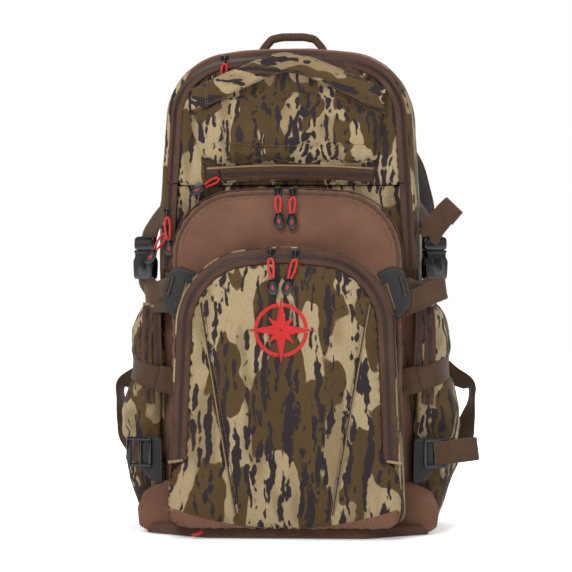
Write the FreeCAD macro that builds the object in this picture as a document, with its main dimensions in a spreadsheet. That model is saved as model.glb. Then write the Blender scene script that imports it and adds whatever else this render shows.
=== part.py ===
"""Hunting backpack: parametric model of its panels, pockets, zips, straps and buckles.

Millimetres. The wearer's back is towards +Y, the pockets face -Y, +Z is up, and the origin is
the centre of the base on the ground.
"""
import FreeCAD, Part
import math
import os
import re
import Sketcher

SIZES = {
    # main bag, seen from the front: straight sides, sloped shoulders and a shallow crown
    "body_half": 140, "waist_z": 330, "shoulder_half": 133, "shoulder_z": 455,
    "corner_half": 114, "corner_z": 496, "crown_half": 72, "crown_z": 519, "crown_top": 524,
    "wall": 3, "front_y": -25, "back_y": 98,
    # reinforced base
    "base_half": 134, "base_front": -90, "base_back": 92, "base_thick": 6, "base_radius": 34,
    # lid and its fold
    "fold_z": 376, "fold_gap": 2, "tape": 8, "tape_gap": 1,
    "stuff_half": 96, "stuff_low": 407, "stuff_side": 454, "stuff_top": 476, "stuff_deep": 26,
    "hood_half": 105, "hood_low": 452, "hood_end": 482, "hood_peak": 519, "hood_tall": 24,
    "hood_deep": 16, "hood_thick": 5, "hood_foot": 9,
    "zip_deep": 3, "upper_zip_low": 381, "upper_zip_high": 395, "upper_zip_half": 90,
    # middle pocket
    "middle_half": 123, "middle_side": 292, "middle_shoulder": 64, "middle_top": 366,
    "middle_crown": 370, "middle_front": -62, "middle_low": 9, "middle_slope": 334,
    # front pocket, whose zipped panel folds down from a bottom hinge
    "pocket_low": 12, "pocket_foot": 124, "pocket_hinge_z": 80, "pocket_waist": 115,
    "pocket_waist_z": 232, "pocket_shoulder": 55, "pocket_top": 304, "pocket_crown": 309,
    "pocket_front": -92, "panel_front": -105, "panel_gap": 1,
    # side pockets
    "side_inner": 140.5, "side_low": 4, "side_bulge": 178, "side_bulge_z": 100,
    "side_top": 272, "side_shoulder": 160, "side_front": -40, "side_back": 82,
    # back system
    "sheet_half": 104, "sheet_low": 14, "sheet_high": 468, "sheet_thick": 2.5,
    "pad_thick": 12, "strap_thick": 13, "strap_face": 122, "strap_root_z": 474,
    # webbing, buckles and grab handle
    "lock_x": 160, "lock_low": 74, "lock_wide": 28, "lock_deep": 4, "lock_bar": 4, "lock_out": 11,
    "webbing_thick": 2, "handle_half": 41, "handle_low": 524.5,
    "handle_high": 548, "handle_thick": 7, "handle_y": 62, "handle_wide": 12,
    "buckle_wide": 32, "buckle_deep": 9, "buckle_long": 32, "buckle_wall": 2, "buckle_play": 0.4,
    "buckle_x": 158, "buckle_y": -10, "buckle_z": 274, "buckle_turn": 40,
    # zip pulls
    "slider_wide": 9, "slider_tall": 11, "slider_thick": 4, "cord_thick": 2.5, "tab_wide": 11,
    "tab_tall": 18, "short_tab": 10, "tab_thick": 3.6, "clearance": 0.3,
}

doc = FreeCAD.newDocument("hunting_backpack")
sheet = doc.addObject("Spreadsheet::Sheet", "Sizes")
for row, (alias, size) in enumerate(SIZES.items(), start=1):
    sheet.set(f"A{row}", alias)
    sheet.set(f"B{row}", str(size))
    sheet.setAlias(f"B{row}", alias)
doc.recompute()

V = FreeCAD.Vector
PARTS = {}


def bound(text):
    """A formula in sheet names, written the way an expression refers to the sheet."""
    return re.sub(r"[a-z][a-z_]*[a-z]", lambda name: "Sizes." + name.group(0), text)


def value(text):
    return float(sheet.evalExpression(bound(text)))


def keep(label, item):
    item.Label = label
    PARTS[label] = item
    return item


def new_body(label):
    return keep(label, doc.addObject("PartDesign::Body", label))


def plane(body, role):
    return next(item for item in body.Origin.OriginFeatures if item.Role == role)


def place_point(sketch, geometry, position, x, z):
    """Hold a sketch point at two sheet formulas."""
    for kind, text in (("DistanceX", x), ("DistanceY", z)):
        index = sketch.addConstraint(
            Sketcher.Constraint(kind, -1, 1, geometry, position, value(text)))
        sketch.setExpression(f"Constraints[{index}]", bound(text))


def draw_outline(sketch, outline):
    """Close an outline of corners (x, z); an entry (x, z, "mid") bows the edge it stands in."""
    corners = [entry for entry in outline if len(entry) == 2]
    bows = {}
    seen = 0
    for entry in outline:
        if len(entry) == 2:
            seen += 1
        else:
            bows[seen - 1] = entry
    at = [V(value(x), value(z), 0) for x, z in corners]
    count = len(corners)
    for number in range(count):
        start, end = at[number], at[(number + 1) % count]
        if number in bows:
            x, z, _ = bows[number]
            middle = V(value(x), value(z), 0)
            if (middle - start).cross(end - middle).z < 0:
                start, end = end, start
            sketch.addGeometry(Part.Arc(start, middle, end), False)
        else:
            sketch.addGeometry(Part.LineSegment(start, end), False)
    ends = [arc_ends(sketch.Geometry[number], at[number]) for number in range(count)]
    for number in range(count):
        following = (number + 1) % count
        sketch.addConstraint(Sketcher.Constraint(
            "Coincident", number, ends[number][1], following, ends[following][0]))
        place_point(sketch, number, ends[number][0], *corners[number])
    for number, (x, z, _) in bows.items():
        middle = sketch.addGeometry(Part.Point(V(value(x), value(z), 0)), True)
        place_point(sketch, middle, 1, x, z)
        sketch.addConstraint(Sketcher.Constraint("PointOnObject", middle, 1, number))


def arc_ends(edge, start):
    """Which end of an edge (1 or 2) is its start, and which its finish."""
    return (1, 2) if edge.StartPoint.distanceToPoint(start) < 1e-6 else (2, 1)


def outline_sketch(body, role, level, outline):
    sketch = body.newObject("Sketcher::SketchObject", body.Label + "_outline")
    sketch.AttachmentSupport = (plane(body, role), [""])
    sketch.MapMode = "FlatFace"
    sketch.setExpression("AttachmentOffset.Base.z", bound(level))
    draw_outline(sketch, outline)
    return sketch


def slab(label, outline, front, back, rounding=None):
    """A panel standing upright: an outline seen from the front, from its back to its front."""
    body = new_body(label)
    pad = body.newObject("PartDesign::Pad", label + "_pad")
    pad.Profile = outline_sketch(body, "XZ_Plane", f"-({back})", outline)
    pad.setExpression("Length", bound(f"({back}) - ({front})"))
    doc.recompute()
    if rounding:
        round_rim(body, pad, value(front), rounding)
    return body


def round_rim(body, pad, level, radius):
    """Round the edges that lie in the panel's front face."""
    rim = []
    for number, edge in enumerate(pad.Shape.Edges, start=1):
        if all(abs(vertex.Point.y - level) < 1e-6 for vertex in edge.Vertexes):
            rim.append(f"Edge{number}")
    fillet = body.newObject("PartDesign::Fillet", body.Label + "_rim")
    fillet.Base = (pad, rim)
    fillet.Radius = radius
    doc.recompute()


def flat(label, outline, low, high):
    """A panel lying flat: an outline seen from above, from its low face to its high one."""
    body = new_body(label)
    pad = body.newObject("PartDesign::Pad", label + "_pad")
    pad.Profile = outline_sketch(body, "XY_Plane", low, outline)
    pad.setExpression("Length", bound(f"({high}) - ({low})"))
    doc.recompute()
    return body


def mirrored(right, top=None):
    """A closed outline from its right half, listed upwards; top bows the last edge."""
    left = [(f"-({entry[0]})",) + tuple(entry[1:]) for entry in reversed(right)]
    return right + ([("0", top, "mid")] if top else []) + left


def band(outer, inner):
    """A strip between two open outlines that run the same way."""
    return outer + list(reversed(inner))


def rounded_box(half, low, high, radius):
    """A symmetric rectangle with bowed corners."""
    tuck = f"({radius}) * 0.293"
    right = [
        (f"{half} - {radius}", low), (f"{half} - {tuck}", f"{low} + {tuck}", "mid"),
        (half, f"{low} + {radius}"), (half, f"{high} - {radius}"),
        (f"{half} - {tuck}", f"{high} - {tuck}", "mid"), (f"{half} - {radius}", high),
    ]
    return mirrored(right)


def bag_outline(inset, low):
    """The main bag's outline, moved inwards; low is where its sides begin."""
    right = [
        (f"body_half - ({inset})", low), (f"body_half - ({inset})", "waist_z"),
        (f"shoulder_half - ({inset})", "shoulder_z"),
        (f"corner_half - ({inset}) * 0.78", f"corner_z - ({inset}) * 0.62", "mid"),
        (f"crown_half - ({inset}) * 0.1", f"crown_z - ({inset})"),
    ]
    return mirrored(right, f"crown_top - ({inset})")


def lid_outline(inset, low):
    """The lid's share of the same outline, from the fold upwards."""
    slope = "(body_half - shoulder_half) / (shoulder_z - waist_z)"
    right = [(f"body_half - ({inset}) - ({low} - waist_z) * {slope}", low)]
    right += bag_outline(inset, low)[2:5]
    return mirrored(right, f"crown_top - ({inset})")


def pocket_outline(inset, low):
    """The front pocket's outline above a level, moved inwards."""
    lean = "(pocket_foot - pocket_waist) / (pocket_waist_z - pocket_low)"
    right = [
        (f"pocket_foot - ({inset}) - ({low} - pocket_low) * {lean}", low),
        (f"pocket_waist - ({inset})", "pocket_waist_z"),
        (f"pocket_waist - 21 - ({inset}) * 0.78", f"pocket_top - 25 - ({inset}) * 0.62", "mid"),
        (f"pocket_shoulder - ({inset}) * 0.1", f"pocket_top - ({inset})"),
    ]
    return mirrored(right, f"pocket_crown - ({inset})")


def make_shell():
    """The main compartment: base, back, gusset and the fixed wall below the lid."""
    half, low = "base_half", "base_front"
    flat("base_panel", rounded_box(half, low, "base_back", "base_radius"), "0", "base_thick")
    slab("back_wall", bag_outline("0", "base_thick"), "back_y - wall", "back_y")
    ring = band(bag_outline("0", "base_thick"), bag_outline("wall", "base_thick"))
    slab("bag_gusset", ring, "front_y + wall", "back_y - wall")
    slope = "(body_half - shoulder_half) / (shoulder_z - waist_z)"
    top = "fold_z - 1"
    side = f"body_half - ({top} - waist_z) * {slope}"
    right = [("body_half", "base_thick"), ("body_half", "waist_z"), (side, top)]
    slab("lower_front_wall", mirrored(right), "front_y", "front_y + wall")
    ribs = rounded_box("sheet_half", "sheet_low", "sheet_high", "30")
    slab("frame_sheet", ribs, "back_y - wall - sheet_thick", "back_y - wall")


def make_lid():
    """The zipped upper panel with its stuff pocket, hood band and admin pocket zip."""
    low = "fold_z + fold_gap"
    body_ring = band(lid_outline("0", low), lid_outline("tape", low))
    slab("main_zip_body_tape", body_ring, "front_y", "front_y + wall")
    lid_ring = band(lid_outline("tape + tape_gap", low), lid_outline("2 * tape + tape_gap", low))
    slab("main_zip_lid_tape", lid_ring, "front_y", "front_y + wall")
    slab("lid_panel", lid_outline("2 * tape + tape_gap", low), "front_y", "front_y + wall")
    stuff = [
        ("stuff_half - 14", "stuff_low"), ("stuff_half", "stuff_low + 16"),
        ("stuff_half", "stuff_side"),
    ]
    slab("stuff_pocket", mirrored(stuff, "stuff_top"), "front_y - stuff_deep", "front_y")
    make_hood_band()
    strip = mirrored([("upper_zip_half", "upper_zip_low"), ("upper_zip_half", "upper_zip_high")])
    slab("upper_pocket_zip", strip, "front_y - zip_deep", "front_y")


def make_hood_band():
    """A padded arch over the stuff pocket, held off the lid by a foot at each end."""
    outer = mirrored([("hood_half", "hood_end")], "hood_peak")
    inner = mirrored([("hood_half", "hood_low")], "hood_peak - hood_tall")
    front = "front_y - hood_deep"
    body = slab("hood_band", band(outer, inner), front, f"{front} + hood_thick")
    foot = body.newObject("Sketcher::SketchObject", "hood_band_feet")
    foot.AttachmentSupport = (plane(body, "XZ_Plane"), [""])
    foot.MapMode = "FlatFace"
    foot.setExpression("AttachmentOffset.Base.z", bound(f"-({front} + hood_thick)"))
    edge, tuck = "hood_half", "hood_half - hood_foot"
    draw_outline(foot, [(tuck, "hood_low + 8"), (edge, "hood_low + 4"),
                        (edge, "hood_end - 4"), (tuck, "hood_end - 1")])
    pad = body.newObject("PartDesign::Pad", "hood_band_foot")
    pad.Profile = foot
    pad.Reversed = True
    pad.setExpression("Length", bound("hood_deep - hood_thick"))
    doc.recompute()
    copy = body.newObject("PartDesign::Mirrored", "hood_band_other_foot")
    copy.Originals = [pad]
    copy.MirrorPlane = (plane(body, "YZ_Plane"), [""])
    body.Tip = copy
    doc.recompute()


def middle_outline(inset, low):
    right = [
        (f"middle_half - ({inset})", low), (f"middle_half - ({inset})", "middle_side"),
        (f"middle_half - 18 - ({inset}) * 0.75", f"middle_top - 28 - ({inset}) * 0.65", "mid"),
        (f"middle_shoulder - ({inset}) * 0.1", f"middle_top - ({inset})"),
    ]
    return mirrored(right, f"middle_crown - ({inset})")


def make_middle_pocket():
    """The middle pocket; behind its zip the top slopes down, clear of the pull hanging there."""
    body = slab("middle_pocket", middle_outline("0", "middle_low"), "middle_front", "front_y")
    top = "middle_crown + 10"
    slope = body.newObject("Sketcher::SketchObject", "middle_slope_outline")
    slope.AttachmentSupport = (plane(body, "YZ_Plane"), [""])
    slope.MapMode = "FlatFace"
    draw_outline(slope, [("middle_front + 19.5", "middle_crown + 1.6"),
                         ("front_y + 1", "middle_slope"), ("front_y + 1", top),
                         ("middle_front + 19.5", top)])
    cut = body.newObject("PartDesign::Pocket", "middle_slope_cut")
    cut.Profile = slope
    cut.Midplane = True
    cut.setExpression("Length", bound("3 * middle_half"))
    body.Tip = cut
    doc.recompute()
    zip_ring = band(middle_outline("-1.5", "200"), middle_outline("0", "200"))
    slab("middle_pocket_zip", zip_ring, "middle_front + 5", "middle_front + 19")


def make_front_pocket():
    """A pouch on the middle pocket whose arched panel zips open and folds down."""
    hinge = "pocket_hinge_z"
    walls = band(pocket_outline("0", hinge), pocket_outline("wall", hinge))
    slab("front_pocket_pouch", walls, "pocket_front", "middle_front")
    fixed = band(pocket_outline("0", hinge), pocket_outline("tape", hinge))
    slab("front_zip_fixed_tape", fixed, "pocket_front - zip_deep", "pocket_front")
    foot = mirrored([
        ("pocket_foot - 16", "pocket_low"), ("pocket_foot - 4", "pocket_low + 5", "mid"),
        ("pocket_foot", "pocket_low + 18"), ("pocket_foot - 3", f"{hinge} - 2"),
    ])
    slab("front_pocket_base", foot, "panel_front", "middle_front", rounding=8)
    low = f"{hinge} + panel_gap"
    moving = band(pocket_outline("tape + tape_gap", low), pocket_outline("2 * tape + tape_gap", low))
    slab("front_zip_panel_tape", moving, "pocket_front - zip_deep", "pocket_front")
    panel = pocket_outline("2 * tape + tape_gap + clearance", low)
    slab("front_pocket_panel", panel, "panel_front", "pocket_front")


def make_group(label, solids):
    """Several like pieces in one node."""
    item = keep(label, doc.addObject("Part::Feature", label))
    item.Shape = solids[0] if len(solids) == 1 else Part.makeCompound(solids)
    return item


def plate(points, front, back):
    """A flat piece seen from the front, given by its corners."""
    corners = [V(x, back, z) for x, z in points]
    face = Part.Face(Part.makePolygon(corners + corners[:1]))
    return face.extrude(V(0, front - back, 0))


def flip(points, side):
    return [(x * side, z) for x, z in points]


def make_hypalon_tabs():
    """Four moulded patches that anchor the compression straps."""
    front = value("middle_front") - 3.3
    upper = [(118, 250), (103, 283), (108, 293), (124, 292), (134, 284), (134, 262), (123, 237)]
    lower = [(134, 54), (134, 101), (150, 104), (156, 98), (154, 58), (146, 52)]
    edge = value("side_front") - 3.6
    solids = []
    for side in (-1, 1):
        solids.append(plate(flip(upper, side), front, value("middle_front") - value("clearance")))
        solids.append(plate(flip(lower, side), edge - 3, edge))
    make_group("hypalon_tabs", solids)


def make_side_pockets():
    right = [
        ("side_inner", "side_low"), ("side_shoulder - 4", "side_low + 1"),
        ("side_bulge + 3", "side_low + 42", "mid"), ("side_bulge", "side_bulge_z + 30"),
        ("side_bulge - 6", "side_bulge_z + 98", "mid"), ("side_shoulder - 6", "side_top - 30"),
        ("side_inner", "side_top"),
    ]
    left = [(f"-({entry[0]})",) + tuple(entry[1:]) for entry in reversed(right)]
    slab("side_pocket_right", right, "side_front", "side_back")
    slab("side_pocket_left", left, "side_front", "side_back")
    front = value("side_front")
    solids = []
    for side in (-1, 1):
        strip = flip([(144, 140), (156, 140), (156, 246), (144, 246)], side)
        solids.append(plate(strip, front - 2, front))
    make_group("side_pocket_zips", solids)


def strap_solids(side):
    """Compression straps: a short run on the front and a long one round the side pocket."""
    thick = value("webbing_thick")
    front = value("side_front") - thick - 0.6
    levels = ((238, 266, 160), (160, 188, 172))
    solids = []
    for low, high, reach in levels:
        run = flip([(136, low), (reach + 6, low + 4), (reach + 6, high + 4), (136, high)], side)
        solids.append(plate(run, front - thick, front))
    return solids


def make_straps():
    tail_front = value("side_front - lock_out") - 1
    thick = value("webbing_thick")
    for name, side in (("left", -1), ("right", 1)):
        solids = strap_solids(side)
        if side > 0:
            tail = [(163, 78), (203, 80), (206, 106), (163, 104)]
            solids.append(plate(tail, tail_front - thick, tail_front))
        make_group("compression_straps_" + name, solids)
    locks = []
    face, back = value("side_front - lock_out"), value("side_front - lock_out + lock_deep")
    inner, outer = value("lock_x - lock_wide / 2"), value("lock_x + lock_wide / 2")
    low, high, bar = value("lock_low"), value("lock_low + lock_wide"), value("lock_bar")
    middle = (inner + outer) / 2
    for side in (-1, 1):
        frame = plate(flip([(inner, low), (outer, low), (outer, high), (inner, high)], side),
                      face, back)
        for start, end in ((inner + bar, middle - bar / 2), (middle + bar / 2, outer - bar)):
            slot = [(start, low + bar), (end, low + bar), (end, high - bar), (start, high - bar)]
            frame = frame.cut(plate(flip(slot, side), face - 1, back + 1))
        locks.append(frame)
    make_group("lower_ladder_locks", locks)


def box_at(x, y, z, wide, deep, tall):
    """A block centred on x and y, standing on z."""
    return Part.makeBox(wide, deep, tall, V(x - wide / 2, y - deep / 2, z))


def set_buckle(item, side):
    """Stand a buckle half beside the bag, turned to face outwards and forwards."""
    centre = V(side * value("buckle_x"), value("buckle_y"), value("buckle_z"))
    turn = FreeCAD.Rotation(V(0, 0, 1), side * value("buckle_turn"))
    item.Placement = FreeCAD.Placement(centre, turn)


def make_buckles():
    """Side-release buckles: a socket below and a pronged plug that draws out upwards."""
    wide, deep, tall = value("buckle_wide"), value("buckle_deep"), value("buckle_long")
    skin, play = value("buckle_wall"), value("buckle_play")
    socket = box_at(0, 0, 0, wide, deep, tall)
    socket = socket.cut(box_at(0, 0, 10, wide - 2 * skin, deep - 2 * skin, tall))
    socket = socket.cut(box_at(0, 0, 3, wide - 2 * skin - 2, deep + 2, 4))
    prong_deep = deep - 2 * skin - 2 * play
    prong_top = tall + 4
    plug = box_at(0, 0, tall + play, wide, deep, 16)
    plug = plug.cut(box_at(0, 0, tall + 7, wide - 2 * skin - 2, deep + 2, 5))
    reach = wide / 2 - skin - play - 3
    for x in (-reach, 0, reach):
        plug = plug.fuse(box_at(x, 0, 13, 6 - abs(x) * 0.05, prong_deep, prong_top - 13))
    for name, side in (("left", -1), ("right", 1)):
        female = make_group("buckle_female_" + name, [socket.copy()])
        set_buckle(female, side)
        male = make_group("buckle_male_" + name, [plug.removeSplitter()])
        set_buckle(male, side)


def make_handle():
    """A folded webbing loop standing on the crown."""
    half, low, high, thick = "handle_half", "handle_low", "handle_high", "handle_thick"
    outer = mirrored([(half, low), (half, f"{high} - 10"), (f"{half} - 16", f"{high} - 2")], high)
    inner = mirrored([
        (f"{half} - {thick} - 3", low), (f"{half} - {thick} - 3", f"{high} - {thick} - 7"),
        (f"{half} - 22", f"{high} - {thick} - 2")], f"{high} - {thick}")
    slab("grab_handle", band(outer, inner), "handle_y - handle_wide / 2",
         "handle_y + handle_wide / 2")


def make_back():
    """Padding on the back panel, the shoulder straps and their lower webbing."""
    face = value("back_y")
    thick = value("pad_thick")
    upper = [(28, 150), (96, 150), (100, 180), (100, 400), (84, 430), (28, 430)]
    lumbar = [(-96, 40), (96, 40), (104, 60), (100, 130), (-100, 130), (-104, 60)]
    solids = [plate(flip(upper, side), face, face + thick) for side in (-1, 1)]
    solids.append(plate(lumbar, face, face + thick))
    make_group("back_pads", solids)
    near = value("strap_face")
    far = near + value("strap_thick")
    top = value("strap_root_z")
    outer_side = [(90, top - 2), (126, 436), (150, 390), (158, 352), (150, 300), (142, 268)]
    inner_side = [(112, 268), (104, 300), (100, 352), (88, 400), (64, 440), (34, top - 2)]
    tail = [(130, 268), (134, 220), (168, 168), (192, 150), (186, 112), (184, 96), (176, 74)]
    for name, side in (("left", -1), ("right", 1)):
        strap = [plate(flip(outer_side + inner_side, side), near, far)]
        strap.append(plate(flip([(40, top - 2), (84, top - 2), (84, top + 5), (40, top + 5)], side),
                           face + 4, far))
        make_group("shoulder_strap_" + name, [strap[0].fuse(strap[1]).removeSplitter()])
        spread = [(x + 12, z) for x, z in tail]
        runs = []
        for number in range(len(tail) - 1):
            quad = [tail[number], spread[number], spread[number + 1], tail[number + 1]]
            runs.append(plate(flip(quad, side), face + 6, face + 8.5))
        ribbon = runs[0].multiFuse(runs[1:]).removeSplitter()
        anchor = plate(flip([(134, 72), (189, 72), (189, 80), (134, 80)], side), face, face + 8.5)
        make_group("shoulder_webbing_" + name, [ribbon.fuse(anchor).removeSplitter()])


# Each zip pull: the slider's centre, which way it faces, how far forward its cord hangs, how far
# the cord reaches below the bail, and how far the pull leans from straight down.
PULLS = {
    "main_upper": {"x": -131.5, "back": "front_y", "z": 346, "hang": 12, "reach": 24, "lean": 4},
    "main_lower": {"x": -134, "back": "front_y", "z": 328, "hang": 8, "reach": 20, "lean": -32},
    "upper_pocket": {"x": -75, "back": "front_y - zip_deep", "z": 388, "hang": 7.5, "reach": 17,
                     "lean": -62},
    "middle_left": {"x": -9, "back": "middle_front", "z": 368, "hang": 7.5, "reach": 17, "lean": 3},
    "middle_right": {"x": 7, "back": "middle_front", "z": 367, "hang": 7.5, "reach": 17, "lean": -2},
    "front_left": {"x": -14, "back": "pocket_front - zip_deep", "z": 302, "hang": 19, "reach": 21,
                   "lean": 5},
    "front_right": {"x": 12, "back": "pocket_front - zip_deep", "z": 301, "hang": 13.5,
                    "reach": 21, "lean": -16},
    "top": {"x": -69, "back": "front_y", "z": 512, "hang": 7.5, "reach": 17, "lean": -4,
            "tab": "short_tab"},
}

# The cord of a pull is a slim loop: across and below the bail, from the tab and back to it.
LOOP = [(-1.4, 1.0), (-2.3, 0.72), (-2.9, 0.44), (-2.6, 0.2), (-1.4, 0.03),
        (1.4, 0.0), (2.6, 0.18), (2.9, 0.42), (2.3, 0.7), (1.4, 1.0)]


def hang_point(pull, across, below):
    """A point of a hanging pull, in its own leaning directions."""
    lean = math.radians(pull["lean"])
    bail_z = pull["z"] - value("slider_tall") / 2 + 1
    y = value(pull["back"]) - pull["hang"]
    x = pull["x"] + across * math.cos(lean) + below * math.sin(lean)
    return V(x, y, bail_z + across * math.sin(lean) - below * math.cos(lean))


def make_slider(name, pull):
    """A zip slider with a bail that stands out to where its pull hangs."""
    wide, tall, thick = value("slider_wide"), value("slider_tall"), value("slider_thick")
    back = value(pull["back"]) - value("clearance")
    low = pull["z"] - tall / 2
    shell = plate([
        (pull["x"] - wide / 2, low + 3), (pull["x"] - wide / 3, low), (pull["x"] + wide / 3, low),
        (pull["x"] + wide / 2, low + 3), (pull["x"] + wide / 2, low + tall),
        (pull["x"] - wide / 2, low + tall)], back - thick, back)
    tip = value(pull["back"]) - pull["hang"] + value("cord_thick") / 2 + 0.5
    bail = Part.makeBox(2.4, back - thick - tip + 0.5, 3, V(pull["x"] - 1.2, tip, low + 4))
    item = keep("slider_" + name, doc.addObject("Part::Feature", "slider_" + name))
    item.Shape = shell.fuse(bail).removeSplitter()


def rounded_path(points, report):
    """Straight runs joined by tangent arcs, each as large as its two runs allow."""
    edges = []
    last = points[0]
    radii = []
    for before, corner, after in zip(points, points[1:], points[2:]):
        inward, outward = corner - before, after - corner
        turn = inward.getAngle(outward)
        reach = 0.45 * min(inward.Length, outward.Length)
        radii.append(reach / math.tan(turn / 2))
        inward.normalize()
        outward.normalize()
        start, end = corner - inward * reach, corner + outward * reach
        centre_way = outward - inward
        centre_way.normalize()
        centre = corner + centre_way * (radii[-1] / math.cos(turn / 2))
        middle = centre - centre_way * radii[-1]
        edges.append(Part.LineSegment(last, start).toShape())
        edges.append(Part.Arc(start, middle, end).toShape())
        last = end
    edges.append(Part.LineSegment(last, points[-1]).toShape())
    print(report, "radii", [round(radius, 1) for radius in radii])
    return Part.Wire(edges)


def make_cord(name, pull):
    """The pull's cord, a round tube along its loop."""
    points = [hang_point(pull, across, share * pull["reach"]) for across, share in LOOP]
    path = rounded_path(points, "cord_" + name)
    radius = value("cord_thick") / 2
    start = points[1] - points[0]
    circle = Part.Wire(Part.Circle(points[0], start, radius).toShape())
    tube = path.makePipeShell([circle], True, False)
    ideal = math.pi * radius ** 2 * path.Length
    print("cord_" + name, "length", round(path.Length, 1), "volume share", tube.Volume / ideal)
    item = keep("pull_cord_" + name, doc.addObject("Part::Feature", "pull_cord_" + name))
    item.Shape = tube


def make_tab(name, pull):
    """The moulded tab at the end of a pull, in its own frame and then hung in place."""
    label = "pull_tab_" + name
    half, tall = "tab_wide / 2", pull.get("tab", "tab_tall")
    shape = mirrored([
        (f"{half} * 0.45", f"-({tall})"), (half, f"-({tall}) * 0.72"), (half, f"-({tall}) * 0.55"),
        (f"{half} * 0.55", "0")])
    tab = slab(label, shape, "-tab_thick / 2", "tab_thick / 2", rounding=1)
    hold = hang_point(pull, 0, pull["reach"])
    turn = FreeCAD.Rotation(V(0, 1, 0), -pull["lean"])
    tab.Placement = FreeCAD.Placement(hold, turn)


def check_and_write():
    doc.recompute()
    for item in doc.Objects:
        if "Invalid" in item.State or "Error" in item.State:
            raise RuntimeError(f"{item.Label} is {item.State}")
    os.makedirs("parts", exist_ok=True)
    for label, item in PARTS.items():
        shape = item.Shape
        if shape.isNull() or not shape.isValid() or not shape.Solids:
            raise RuntimeError(f"{label} has no valid solid")
        shape.exportStep(os.path.join("parts", label + ".step"))
    print(len(PARTS), "nodes written")


make_shell()
make_lid()
make_middle_pocket()
make_front_pocket()
make_hypalon_tabs()
make_side_pockets()
make_straps()
make_buckles()
make_handle()
make_back()
for pull_name, pull_data in PULLS.items():
    make_slider(pull_name, pull_data)
    make_cord(pull_name, pull_data)
    make_tab(pull_name, pull_data)
check_and_write()
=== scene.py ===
import math

import bpy
import numpy as np
from mathutils import Matrix, Vector, noise
from mathutils.bvhtree import BVHTree


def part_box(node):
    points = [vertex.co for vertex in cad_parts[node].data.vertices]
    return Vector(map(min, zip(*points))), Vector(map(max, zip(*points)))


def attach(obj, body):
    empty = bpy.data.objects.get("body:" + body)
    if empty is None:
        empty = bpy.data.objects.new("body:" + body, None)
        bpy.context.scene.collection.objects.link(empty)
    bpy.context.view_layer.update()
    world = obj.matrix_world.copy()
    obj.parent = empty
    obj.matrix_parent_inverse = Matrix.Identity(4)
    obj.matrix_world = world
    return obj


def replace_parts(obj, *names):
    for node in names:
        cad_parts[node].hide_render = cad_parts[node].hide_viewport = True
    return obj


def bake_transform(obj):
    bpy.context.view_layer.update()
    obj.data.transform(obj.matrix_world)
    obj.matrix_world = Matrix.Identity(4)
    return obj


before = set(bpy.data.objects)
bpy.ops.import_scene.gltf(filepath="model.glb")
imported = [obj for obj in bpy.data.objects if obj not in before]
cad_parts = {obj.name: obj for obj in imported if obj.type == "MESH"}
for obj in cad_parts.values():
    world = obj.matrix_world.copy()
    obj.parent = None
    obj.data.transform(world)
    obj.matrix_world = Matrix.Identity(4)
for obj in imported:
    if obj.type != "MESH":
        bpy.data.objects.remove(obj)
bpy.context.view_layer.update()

MM = 0.001
SIDES = ((-1, "left"), (1, "right"))


def mm(points):
    """Points given in mm, in metres; the word in a bowed edge's entry stays."""
    return [tuple(value if isinstance(value, str) else value * MM for value in point)
            for point in points]


def add_object(name, data):
    item = bpy.data.objects.new(name, data)
    bpy.context.scene.collection.objects.link(item)
    return item


# ---------------------------------------------------------------- materials

def add_node(tree, kind, values=(), **settings):
    """A shader node with its settings, its inputs set or linked."""
    node = tree.nodes.new("ShaderNode" + kind)
    for key, setting in settings.items():
        setattr(node, key, setting)
    for key, given in dict(values).items():
        if isinstance(given, bpy.types.NodeSocket):
            tree.links.new(given, node.inputs[key])
        else:
            node.inputs[key].default_value = given
    return node


class Look:
    """A node material in the making; its place is a point of the piece.

    For cloth that folds, the place is where that point lies before it folds.
    """

    def __init__(self, name, roughness=0.8, sheen=0.0, specular=0.18, folds=False):
        self.mat = bpy.data.materials.new(name)
        self.mat.use_nodes = True
        self.tree = self.mat.node_tree
        self.inputs = self.tree.nodes["Principled BSDF"].inputs
        self.inputs["Roughness"].default_value = roughness
        self.inputs["Sheen Weight"].default_value = sheen
        self.inputs["Specular IOR Level"].default_value = specular
        self.normal = None
        self.place = (self.add("Attribute", attribute_name="unfolded").outputs["Vector"] if folds
                      else self.add("TexCoord").outputs["Object"])

    def add(self, kind, values=(), **settings):
        return add_node(self.tree, kind, values, **settings)

    def link(self, source, target):
        self.tree.links.new(source, self.inputs[target])

    def calc(self, operation, *values):
        return self.add("Math", enumerate(values), operation=operation).outputs[0]

    def axes(self):
        return self.add("SeparateXYZ", {"Vector": self.place}).outputs

    def wave(self, source, period):
        """A sine wave of a length along a coordinate."""
        return self.calc("SINE", self.calc("MULTIPLY", source, 2 * math.pi / period))

    def mapped(self, scale, vector=None, offset=(0, 0, 0), turn=(0, 0, 0)):
        """The place, scaled by different amounts each way, turned and moved."""
        values = {"Vector": vector or self.place, "Scale": scale, "Location": offset,
                  "Rotation": turn}
        return self.add("Mapping", values).outputs["Vector"]

    def noise(self, scale, detail, vector=None, roughness=0.5):
        values = {"Vector": vector or self.place, "Scale": scale, "Detail": detail,
                  "Roughness": roughness}
        return self.add("TexNoise", values).outputs

    def mix(self, factor, first, second, blend="MIX"):
        """Two colours mixed; one given as three numbers is a display colour."""
        first, second = (colour(*given) if isinstance(given, tuple) else given
                         for given in (first, second))
        values = {0: factor, 6: first, 7: second}
        return self.add("Mix", values, data_type="RGBA", blend_type=blend).outputs[2]

    def step(self, source, edge, soft=0.01):
        """1 above an edge and 0 below it, with a slightly soft border."""
        values = {"Value": source, "From Min": edge - soft, "From Max": edge + soft}
        return self.add("MapRange", values).outputs["Result"]

    def bump(self, height, strength, distance):
        """Relief, on top of what the material has already."""
        values = {"Height": height, "Strength": strength, "Distance": distance}
        if self.normal:
            values["Normal"] = self.normal
        self.normal = self.add("Bump", values).outputs["Normal"]
        self.link(self.normal, "Normal")


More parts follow.
